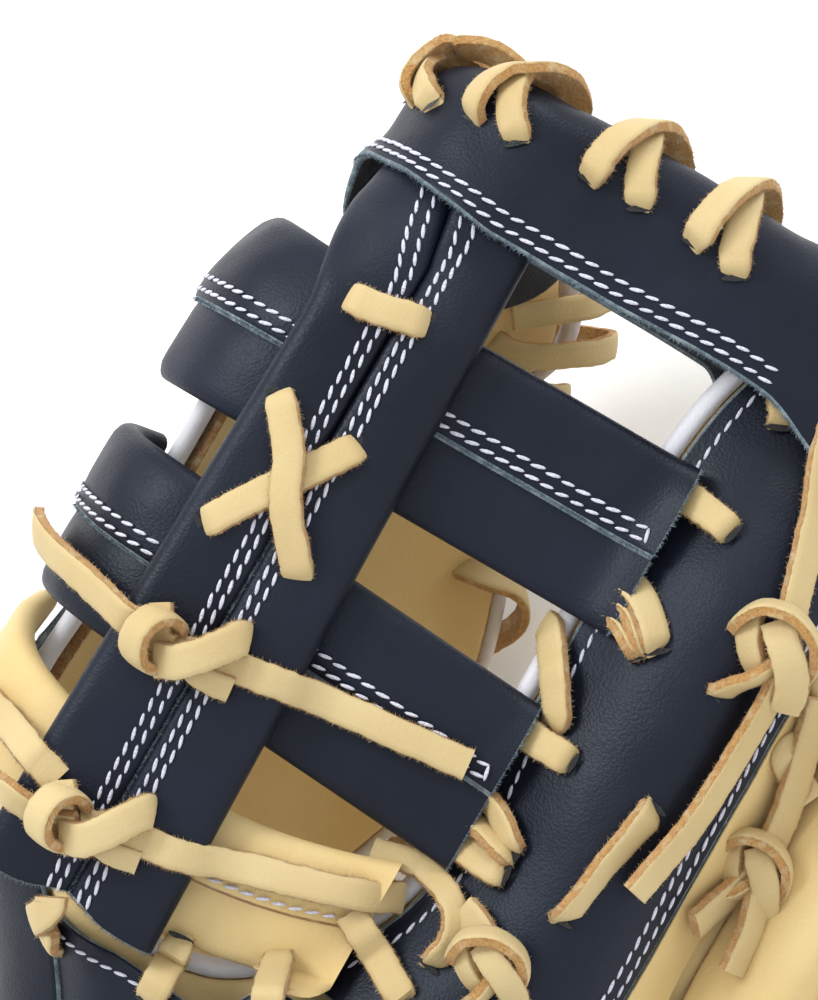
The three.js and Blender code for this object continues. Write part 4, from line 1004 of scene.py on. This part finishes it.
# Crossed pairs over the rail: u in shares of WEB of the over and the under lace at front and back, and the
# seat's height in gaps
pair_rows = [((-0.15, -0.05), (-0.08, -0.19), 5), ((-0.01, 0.15), (0.06, 0.05), 2),
             ((0.2, 0.42), (0.325, 0.29), 3), ((0.46, 0.64), (0.575, 0.54), 2.5)]
for k, (high_pair, low_pair, seat) in enumerate(pair_rows):
    for side_name, (low, high), rise, bow, twist in (("over", high_pair, 2.9, 0.0, (-22, -30, -30)),
                                                     ("under", low_pair, 0.3, -4.5, (-20, -24, -20))):
        t = np.linspace(0, 1, 19)
        ease = smooth(t, 0.15, 1.05) if side_name == "over" else t
        u = lerp(low, high, ease) * WEB + bow * np.sin(math.pi * t)
        q = np.interp(t, (0, 0.4, 0.75, 1), (0.27, 0.43, 0.58, 0.8))
        lift = (seat - 2) * GAP * 0.5 + 1.3 + rise * np.sin(math.pi * t) ** 0.7
        points = rail_point(u, q, lift)
        ups = unit(rail_point(u, q, lift + 1) - rail_point(u, q, lift))
        name = f"rail_lace_{k + 1}_{side_name}"
        strap(name, points, ups, [name], 6.5, twist=twist, ends="ss")

# Each lace's turn in degrees, its two ends and its rows
laid_laces = {
    "post_lace_top": (-6, "ss", [(-0.12, 0.149), (-0.03, 0.153, 1.0), (0.066, 0.16)]),
    "post_lace_under": (-14, "ss", [(-0.145, -0.02), (-0.04, 0.028), (0.068, 0.074)]),
    "post_lace_over": (16, "ss", [(-0.145, 0.078), (-0.06, 0.047, 2.2), (-0.01, 0.018, 2.6), (0.098, -0.02)]),
    "upper_bar_lace_high": (0, "cs", [(0.69, 0.149, -0.2, 1), (0.74, 0.148, 0.3, 1), (0.79, 0.145, 0.3, 1),
                                      (0.828, 0.142)]),
    "upper_bar_lace_low": (-24, "cs", [(0.69, 0.084, -0.4, 1), (0.73, 0.079, 0.1, 1), (0.775, 0.067, 0.4, 1),
                                       (0.811, 0.054)]),
    "lower_bar_lace_high": (0, "cs", [(0.64, -0.032, -0.2, 1), (0.69, -0.033, 0.4, 1), (0.74, -0.033, 0.3, 1),
                                      (0.78, -0.033)]),
    "lower_bar_lace_low": (-20, "cs", [(0.63, -0.115, -0.2, 1), (0.68, -0.117, 0.4, 1),
                                       (0.735, -0.117, 0.3, 1), (0.779, -0.116)]),
    "piping_lace": (40, "cs", [(0.6, 0.034, -2.5, 1), (0.615, 0.03, 1.5, 1), (0.645, 0.016, 3.6, 1),
                               (0.68, 0, 2.0, 1), (0.705, -0.012, 0.6, 1), (0.715, -0.022, -0.8, 1)]),
    "running_lace": ((-20, -40, -50, -40), "ss", [(0.955, -0.03), (0.945, -0.045, 0.8), (0.925, -0.075, 1.6),
                                                  (0.914, -0.105, 1.0), (0.908, -0.121)]),
    "crotch_lace_left": (-20, "cc", [(-0.33, -0.186), (-0.22, -0.195, 0.6), (-0.14, -0.203)]),
    "crotch_lace_middle": (15, "cs", [(-0.025, -0.268, 0.2), (0.01, -0.287, 0.6), (0.033, -0.309)]),
    "crotch_lace_1": (12, "ss", [(0.255, -0.256), (0.26, -0.275, 0.8), (0.26, -0.302)]),
    "crotch_lace_2": (12, "ss", [(0.455, -0.234, -0.6), (0.48, -0.252, -0.4), (0.52, -0.274, -0.6)]),
    "crotch_lace_3": (-10, "cs", [(0.54, -0.188, -0.4), (0.62, -0.2, 0.5), (0.73, -0.217, -0.4)]),
    "stall_lace": (0, "cc", [(1.16, 0.14, -0.8), (1.27, 0.115, -0.4), (1.16, 0.09, -0.4), (1.27, 0.065, -0.4),
                             (1.16, 0.04, -0.4), (1.27, 0.02, -0.8)])}
for name, (twist, ends, rows) in laid_laces.items():
    lay(name, rows, [name], twist=twist, ends=ends)

# Further runs of the same laces that show under the bars' ends and beside the crotch
loose_runs = {
    "lace_run_bar_fold": (-56, "cs", [(0.695, 0.07, -0.6, 1), (0.73, 0.066, 0.2, 1), (0.765, 0.056, 0.3, 1),
                                      (0.795, 0.049, -0.2)]),
    "lace_run_crotch_curve": (-25, "cs", [(0.52, -0.15, 0, 1), (0.62, -0.142, 2.4, 1), (0.71, -0.148, 2.4, 1),
                                          (0.745, -0.165, 1, 1), (0.735, -0.19, 0, 1)]),
    "lace_run_rail": (0, "cs", [(0.78, 0.237, -0.5, 1), (0.795, 0.228, 0.2, 1), (0.81, 0.217, 0, 1)]),
    "lace_run_fan_high": (-60, "cs", [(0.695, 0.059, -0.6, 1), (0.725, 0.057, 0, 1), (0.755, 0.051, 0.2, 1),
                                      (0.785, 0.046, -0.2, 1)]),
    "lace_run_fan_low": (46, "cs", [(0.645, -0.082, -0.4, 1), (0.69, -0.084, 0.6, 1), (0.735, -0.092, 0.6, 1),
                                    (0.772, -0.101, 0, 1)]),
    "lace_run_fan_lower": (-58, "cs", [(0.64, -0.1, -0.4, 1), (0.69, -0.1, 0.6, 1), (0.735, -0.103, 0.6, 1),
                                       (0.775, -0.106, 0, 1)])}
for name, (twist, ends, rows) in loose_runs.items():
    lay(name, rows, [], twist=twist, ends=ends, width=5.4)
print("laid laces:", len(laid_laces), "rail laces:", 2 * len(pair_rows), "further runs:", len(loose_runs))

# %% [markdown]
# ## Knots
# Two forms of knot are tied. In the low form a band rings the tail and a broad band crosses over it; in the
# tall form a band arches over the top and a broad one hangs down its front. Each form is a short table of
# straps: across, up and height in millimetres from the knot's middle.

# %% Knots
low_form = [  # width, turn, ends, rows of (across, up, height)
    (7.2, (-8, -4, 10), "cc", [(-1.8, -3.6, 4.2), (1.5, -2.2, 7.2), (4.6, 0.8, 8.4), (7.6, 4.6, 7.8),
                               (10.2, 8.0, 5.6), (11.6, 8.6, 3.2), (10.6, 6.0, 1.6)]),
    (5.4, 0, "cc", [(3.6, -1.0, 2.8), (8.0, -2.2, 2.6), (14.2, -1.6, 2.2)]),
    (5.0, 0, "cc", [(-4.4, 1.6, 3.4), (-5.6, 4.2, 3.6), (-7.0, 6.6, 3.2)])]
tall_form = [
    (6.6, (-40, -48, -52, -40), "cc", [(-9.6, -1.4, 1.4), (-9.8, 0.2, 4.0), (-7.6, 3.6, 6.6),
                                       (-1.6, 5.0, 8.2), (4.4, 2.6, 7.6), (7.4, -1.8, 5.0),
                                       (7.4, -4.6, 2.4)]),
    (7.0, (10, 6, 12), "cc", [(-3.4, 2.2, 6.0), (-0.6, -1.0, 8.2), (3.6, -5.2, 7.6), (6.4, -9.2, 4.6),
                              (7.0, -12.4, 1.6)]),
    (5.6, 12, "cc", [(-8.4, 1.2, 2.6), (-7.2, -2.6, 4.0), (-4.0, -6.6, 3.6), (-0.2, -8.6, 3.0)]),
    (5.6, (-40, -52, -40), "cs", [(1.4, -4.6, 4.6), (-1.4, -9.4, 4.8), (-4.4, -13.2, 3.6),
                                  (-6.9, -17.6, 1.3)])]
RING_TILT, RING_RADIUS, RING_WIDTH = math.radians(42), 5.5, 7.0
knots = {  # place in shares of WEB and LENGTH, form, its scale and turn, and tails as (turn, rows)
    "post_knot": dict(u=-0.062, z=-0.094, form=low_form, size=1.0, turn=0, ring=(-4.4, 2.2), tails=[
        (-28, [(-0.1, -0.094, 1.2), (-0.2, -0.092, 1.6), (-0.31, -0.085, 2.2), (-0.45, -0.076, 3.4)]),
        ((-30, -10, -6, -4), [(0.0, -0.09, 0.4), (0.12, -0.083, 0.4), (0.3, -0.077, 1.4),
                              (0.6, -0.068, 1.2)])]),
    "base_knot": dict(u=-0.05, z=-0.219, form=low_form, size=1.0, turn=3, ring=(-4.4, 2.2), tails=[
        (-40, [(-0.1, -0.225, 1), (-0.16, -0.226, 1.4), (-0.26, -0.222, 1.8)]),
        ((-40, -22, -10, -6), [(0.02, -0.211, 0.4), (0.16, -0.206, 1.0), (0.38, -0.188, 2.2),
                               (0.62, -0.166, 2.6)])]),
    "finger_knot": dict(u=1.01, z=0.1, form=tall_form, size=1.0, turn=0, ring=None, tails=[
        (24, [(0.985, 0.13, 1.4), (0.95, 0.175, 2), (0.91, 0.215, 2.4), (0.885, 0.245, 2.0)]),
        ((-48, -44, -40, -36), [(1.04, 0.07, 2.2), (1.045, 0.03, 1.6), (1.035, -0.025, 2),
                                (1.0, -0.083, 2.6)])]),
    "crotch_knot": dict(u=0.83, z=-0.16, form=tall_form, size=0.85, turn=20, ring=None, tails=[
        (-20, [(0.78, -0.152, 1), (0.74, -0.148, 1)])]),
    "stall_knot": dict(u=1.25, z=-0.03, form=tall_form, size=0.86, turn=-4, ring=None, tails=[
        (20, [(1.23, 0.01, 2.5), (1.19, 0.05, 1.4), (1.16, 0.08, 0.6)]),
        (-30, [(1.22, -0.055, 1), (1.17, -0.085, 1)]), (-30, [(1.28, -0.065, 1), (1.29, -0.1, 1)])])}


def gather(name, parts):
    """Joins straps into one piece, since a knot is one solid in the frame."""
    made = bmesh.new()
    for part in parts:
        made.from_mesh(part.data)
    whole = parts[0].data
    made.to_mesh(whole)
    made.free()
    whole.polygons.foreach_set("use_smooth", [True] * len(whole.polygons))
    for part in parts[1:]:
        bpy.data.objects.remove(part)
    parts[0].name = name
    return parts[0]


for name, row in knots.items():
    x, y = row["u"] * WEB, row["z"] * LENGTH
    ground = over(x, y, highest(top_at, x, y, 2.0) + GAP)
    face = unit(over_out(x, y) + [0, -1.2, 0])
    right = unit(np.cross([0, 0, 1], face) * -1)
    if right[0] < 0:
        right = -right
    rise = np.cross(face, right)
    rise = rise if rise[2] > 0 else -rise
    angle, size = math.radians(row["turn"]), row["size"]
    right, rise = (right * math.cos(angle) + rise * math.sin(angle),
                   rise * math.cos(angle) - right * math.sin(angle))
    parts = []
    for k, (width, twist, ends, rows) in enumerate(row["form"]):
        rows = np.array(rows, float) * size
        points = ground + rows[:, :1] * right + rows[:, 1:2] * rise + rows[:, 2:] * face
        hub = ground + (rows[:, :2].mean(0) @ np.array([right, rise])) * 0.4
        lean = square(unit(points - hub + face * 3), unit(np.gradient(points, axis=0)))
        parts.append(strap(f"{name}_band_{k + 1}", points, lean, [name] if k == 0 else [], width * size,
                           step=0.7, twist=twist, ends=ends))
    if row["ring"]:
        axis = math.cos(RING_TILT) * right + math.sin(RING_TILT) * face
        first, second = rise, np.cross(axis, rise)
        second = second if second @ face > 0 else -second
        middle = ground + row["ring"][0] * right + (row["ring"][1] - 2.6) * rise + 4.6 * face
        turn_by = np.radians(np.linspace(-45, 238, 14))[:, None]
        radial = np.cos(turn_by) * first + np.sin(turn_by) * second
        parts.append(strap(f"{name}_ring", middle + radial * RING_RADIUS, radial, [], RING_WIDTH, step=0.7))
    for t, (twist, rows) in enumerate(row["tails"]):
        start = (row["u"], row["z"], 2.4)
        parts.append(lay(f"{name}_tail_{t + 1}", [start, *rows], [], twist=twist))
    gather(name, parts)
print("knots:", list(knots))

# %% [markdown]
# ## Rim lacing
# The rims are tied by one lace that spirals round them: through the palm, round the piping and back over.


# %% Rim laces
RIM_INSET, SEAT = 8.0, 1.8


def rim_lace(name, from_row, to_row, turns):
    def at(row, inset, lift):
        edge = on(rim, row)
        along = unit(on(rim, min(row + 0.02, LAST)) - on(rim, max(row - 0.02, 0)))
        inward = np.array([-along[1], along[0]])
        if np.dot(inward, on(notch, row) - edge) < 0:
            inward = -inward
        u, z = edge + inward * inset
        return sheet(u, z, lift(u, z)), outward(u, z)

    inner_face = lambda u, z: -GAP / 2 - PAD_EDGE - PAD_RISE - 3 * GAP - SEAT
    outer_face = lambda u, z: highest(back_top, u, z, 3.6) + 2 * GAP + SEAT
    middle = lambda u, z: -3.0
    loop = [(0, RIM_INSET, inner_face), (0.15, -1.5 * SEAT, inner_face), (0.5, -8.4, middle),
            (0.85, -SEAT, outer_face), (1, RIM_INSET, outer_face)]
    points = []
    for k in range(turns):
        for share, inset, lift in loop:
            row = lerp(from_row, to_row, (k + share + 0.3) / (turns + 0.6))
            points.append(at(row, inset, lift))
    places = np.array([p for p, _ in points])
    centre = np.array([at(lerp(from_row, to_row, (k // len(loop) + 0.5 + 0.3) / (turns + 0.6)), 4, middle)[0]
                       for k in range(len(points))])
    return strap(name, places, unit(places - centre), [name], thick=2.2, step=1.5, bristle=False)


rim_lace("thumb_rim_lace", 0, 3.4, 7)
rim_lace("finger_rim_lace", 10, LAST, 11)
print("rim laces done")

# %% [markdown]
# ## Stitches
# All stitches are the same small capsule, so Geometry Nodes lay them: the rows become curves,
# the curves are cut into even steps, and each step gets one capsule turned along the row. The tree ends
# in Realize Instances, so that the result is a plain mesh.


# %% A node tree for what repeats
def lines_object(name, lines):
    """One mesh of edges, each point carrying the direction that its surface faces."""
    points, edges, ups = [], [], []
    for line, normals in lines:
        start = len(points)
        points += place(line).tolist()
        ups += laid(normals).tolist()
        edges += [(start + k, start + k + 1) for k in range(len(line) - 1)]
    mesh = bpy.data.meshes.new(name)
    mesh.from_pydata(points, edges, [])
    mesh.attributes.new("facing", "FLOAT_VECTOR", "POINT").data.foreach_set("vector", np.array(ups).ravel())
    return linked(name, mesh)


class Tree:
    """A Geometry Nodes tree with named inputs."""

    def __init__(self, name, sizes):
        self.tree = bpy.data.node_groups.new(name, "GeometryNodeTree")
        sockets = self.tree.interface
        sockets.new_socket("Geometry", in_out="INPUT", socket_type="NodeSocketGeometry")
        sockets.new_socket("Geometry", in_out="OUTPUT", socket_type="NodeSocketGeometry")
        self.keys = {}
        for key, value in sizes.items():
            kind = "NodeSocketInt" if isinstance(value, int) else "NodeSocketFloat"
            socket = sockets.new_socket(key, in_out="INPUT", socket_type=kind)
            socket.default_value = value
            self.keys[key] = socket.identifier
        self.start = self.tree.nodes.new("NodeGroupInput")
        self.end = self.tree.nodes.new("NodeGroupOutput")

    def input(self, key):
        return self.start.outputs[key]

    def node(self, kind, settings=None, inputs=None):
        made = self.tree.nodes.new(kind)
        for key, value in (settings or {}).items():
            setattr(made, key, value)
        for key, value in (inputs or {}).items():
            if isinstance(value, bpy.types.NodeSocket):
                self.tree.links.new(value, made.inputs[key])
            else:
                made.inputs[key].default_value = value
        return made

    def run(self, source, sizes, name, material, slot):
        """Applies the tree to an object and gives the result as a plain piece."""
        modifier = source.modifiers.new("repeat", "NODES")
        modifier.node_group = self.tree
        for key, value in sizes.items():
            modifier[self.keys[key]] = value
        evaluated = source.evaluated_get(bpy.context.evaluated_depsgraph_get())
        mesh = bpy.data.meshes.new_from_object(evaluated)
        source.modifiers.remove(modifier)
        bpy.data.objects.remove(source)
        mesh.name = name
        mesh.materials.clear()
        mesh.materials.append(material)
        mesh.polygons.foreach_set("material_index", [0] * len(mesh.polygons))
        mesh.polygons.foreach_set("use_smooth", [True] * len(mesh.polygons))
        piece = show(name, mesh)
        print(name, "has", len(mesh.polygons), "faces")
        return piece


def repeat_tree(name, sizes, shape, material, wild):
    """Copies of one shape along every line: laid in step when wild is false, bristling when it is true."""
    made = Tree(name, sizes)
    line = made.node("GeometryNodeMeshToCurve", None, {"Mesh": made.input("Geometry")})
    even = made.node("GeometryNodeResampleCurve", {"mode": "LENGTH"},
                     {"Curve": line.outputs[0], "Length": made.input("Pitch")})
    facing = made.node("GeometryNodeInputNamedAttribute", {"data_type": "FLOAT_VECTOR"}, {"Name": "facing"})
    tangent = made.node("GeometryNodeInputTangent")
    turn_way = made.node("FunctionNodeAxesToRotation", {"primary_axis": "Z", "secondary_axis": "X"},
                         {"Primary Axis": facing.outputs[0], "Secondary Axis": tangent.outputs[0]})
    copies = made.node("GeometryNodeInstanceOnPoints", None,
                       {"Points": even.outputs[0], "Instance": shape(made), "Rotation": turn_way.outputs[0]})
    reach = (0.9, 0.9, 3.1) if wild else (0.02, 0.05, 0.06)
    spin = made.node("FunctionNodeRandomValue", {"data_type": "FLOAT_VECTOR"},
                     {0: tuple(-r for r in reach), 1: reach, "Seed": made.input("Seed")})
    slant = made.node("ShaderNodeCombineXYZ", None, {"Z": made.input("Slant")})
    size = made.node("FunctionNodeRandomValue", {"data_type": "FLOAT"},
                     {2: 0.35 if wild else 0.92, 3: 1.25 if wild else 1.06, "Seed": made.input("Seed")})
    for kind, key, value in (("GeometryNodeRotateInstances", "Rotation", spin.outputs[0]),
                             ("GeometryNodeRotateInstances", "Rotation", slant.outputs[0]),
                             ("GeometryNodeScaleInstances", "Scale", size.outputs[1])):
        copies = made.node(kind, None, {"Instances": copies.outputs[0], key: value})
    real = made.node("GeometryNodeRealizeInstances", None, {"Geometry": copies.outputs[0]})
    coat = made.node("GeometryNodeSetMaterial", None, {"Geometry": real.outputs[0], "Material": material})
    made.tree.links.new(coat.outputs[0], made.end.inputs[0])
    return made


def capsule(tree):
    """A stitch: a ball drawn out along the row."""
    ball = tree.node("GeometryNodeMeshUVSphere", None, {"Segments": 8, "Rings": 6, "Radius": 0.5})
    size = tree.node("ShaderNodeCombineXYZ", None,
                     {"X": tree.input("Length"), "Y": tree.input("Width"), "Z": tree.input("Height")})
    drawn = tree.node("GeometryNodeTransform", None, {"Geometry": ball.outputs[0], "Scale": size.outputs[0]})
    return drawn.outputs[0]


def fibre(tree):
    """A hair of leather: a thin cone that leans out of the edge."""
    cone = tree.node("GeometryNodeMeshCone", {"fill_type": "NONE"},
                     {"Vertices": 3, "Radius Top": 0.00001, "Radius Bottom": tree.input("Width"),
                      "Depth": tree.input("Length")})
    return cone.outputs[0]


# %% Stitches
stitch_tree = repeat_tree("stitches", {"Pitch": 0.0035, "Seed": 4, "Slant": 0.22, "Length": 0.0031,
                                       "Width": 0.00085, "Height": 0.0007}, capsule, thread, False)
stitch_tree.run(lines_object("stitch_rows", stitch_rows), {"Pitch": 0.0035, "Seed": 7, "Length": 0.0034},
                "stitching", thread, "white_piping")

# %% Slits that the laces go into, drawn as small near-black lenses of painted shade
SLIT_LONG, SLIT_OPEN, SLIT_DEEP, SLIT_SIDES = 3.0, 0.7, 0.6, 14


# Each slit is a thin lens with a near-black finish, painted shade standing in for the hollow of the hole.
def slit_piece():
    points, faces = [], []
    for where_at, wide, up_dir in slits:
        ahead, base = np.cross(up_dir, wide), len(points)
        ring = np.linspace(0, 2 * math.pi, SLIT_SIDES + 1)[:-1]
        points.append(where_at + up_dir * 0.05)
        points += [where_at + wide * SLIT_LONG * math.cos(a) + ahead * SLIT_OPEN * math.sin(a) for a in ring]
        points.append(where_at - up_dir * SLIT_DEEP)
        for k in range(SLIT_SIDES):
            first, second = base + 1 + k, base + 1 + (k + 1) % SLIT_SIDES
            faces += [(base, first, second), (base + SLIT_SIDES + 1, second, first)]
    return new_piece("lace_slit_painted_shade", np.array(points), faces, [slit_painted_shade], [0] * len(faces), [], "navy_leather")


slit_piece()
print("slits:", len(slits))

# %% Fluff on the laces and cut edges
fluff_tree = repeat_tree("fluff", {"Pitch": 0.0004, "Seed": 2, "Slant": 0.0, "Length": 0.0011,
                                   "Width": 0.00007, "Height": 0.0}, fibre, lace_pale, True)
fluff_tree.run(lines_object("lace_edges", fluff_lines), {"Pitch": 0.00034, "Seed": 11, "Length": 0.0008},
               "lace_fluff", lace_pale, "lace_rawhide")
frayed_tree = repeat_tree("frayed", {"Pitch": 0.0003, "Seed": 5, "Slant": 0.0, "Length": 0.0013,
                                     "Width": 0.00012, "Height": 0.0}, fibre, navy_raw, True)
frayed_tree.run(lines_object("cut_edges", navy_edges), {"Pitch": 0.00016, "Seed": 3, "Length": 0.001},
                "navy_fluff", navy_raw, "navy_leather")

# %% [markdown]
# ## Floor and light
# The photograph has a white ground and soft light from the upper left. The floor is a pale sheet, and a
# broad lamp on that side gives the highlights along the folds.

# %% Floor and light
floor_mesh = bpy.data.meshes.new("floor")
FLOOR_HALF = 4.0
floor_mesh.from_pydata([(a * FLOOR_HALF, b * FLOOR_HALF, 0) for a, b in ((-1, -1), (1, -1), (1, 1), (-1, 1))],
                       [], [(0, 1, 2, 3)])
floor = linked("floor", floor_mesh)


def floor_finish(start, where):
    spots = start.speckle(where, 3.0, 2.0)
    return spots.mix(shade(250, 250, 251), shade(255, 255, 255)), 0.8 + spots * 0.05, spots, 0.0001


floor_look = finish("pale_floor", floor_finish, 0.0, 0.1)
glow = floor_look.node_tree.nodes["Principled BSDF"].inputs
glow["Emission Color"].default_value, glow["Emission Strength"].default_value = (1, 1, 1, 1), 0.12
floor_mesh.materials.append(floor_look)

target = Vector(place(np.array([[20.0, 0.0, 10.0]]))[0])


def lamp(name, away, distance, size, power):
    data = bpy.data.lights.new(name, "AREA")
    data.shape, data.size, data.energy = "DISK", size, power
    made = linked(name, data)
    made.location = target + away.normalized() * distance
    made.rotation_euler = (-away).to_track_quat("-Z", "Y").to_euler()


lamp("key", up * 0.8 - side * 1.1 + back * 0.9, 1.3, 0.5, 9)
lamp("fill", side * 0.9 + back * 1.3 - up * 0.3, 1.6, 1.2, 0.5)
lamp("rim", up * 1.2 + side * 0.2 + back * 0.5, 1.4, 0.5, 5)
world = bpy.data.worlds.new("studio")
world.use_nodes = True
sky = world.node_tree.nodes["Background"].inputs
sky["Color"].default_value, sky["Strength"].default_value = (1, 1, 1, 1), 0.95
bpy.context.scene.world = world
view = bpy.context.scene.view_settings
view.view_transform, view.look = "Standard", "None"
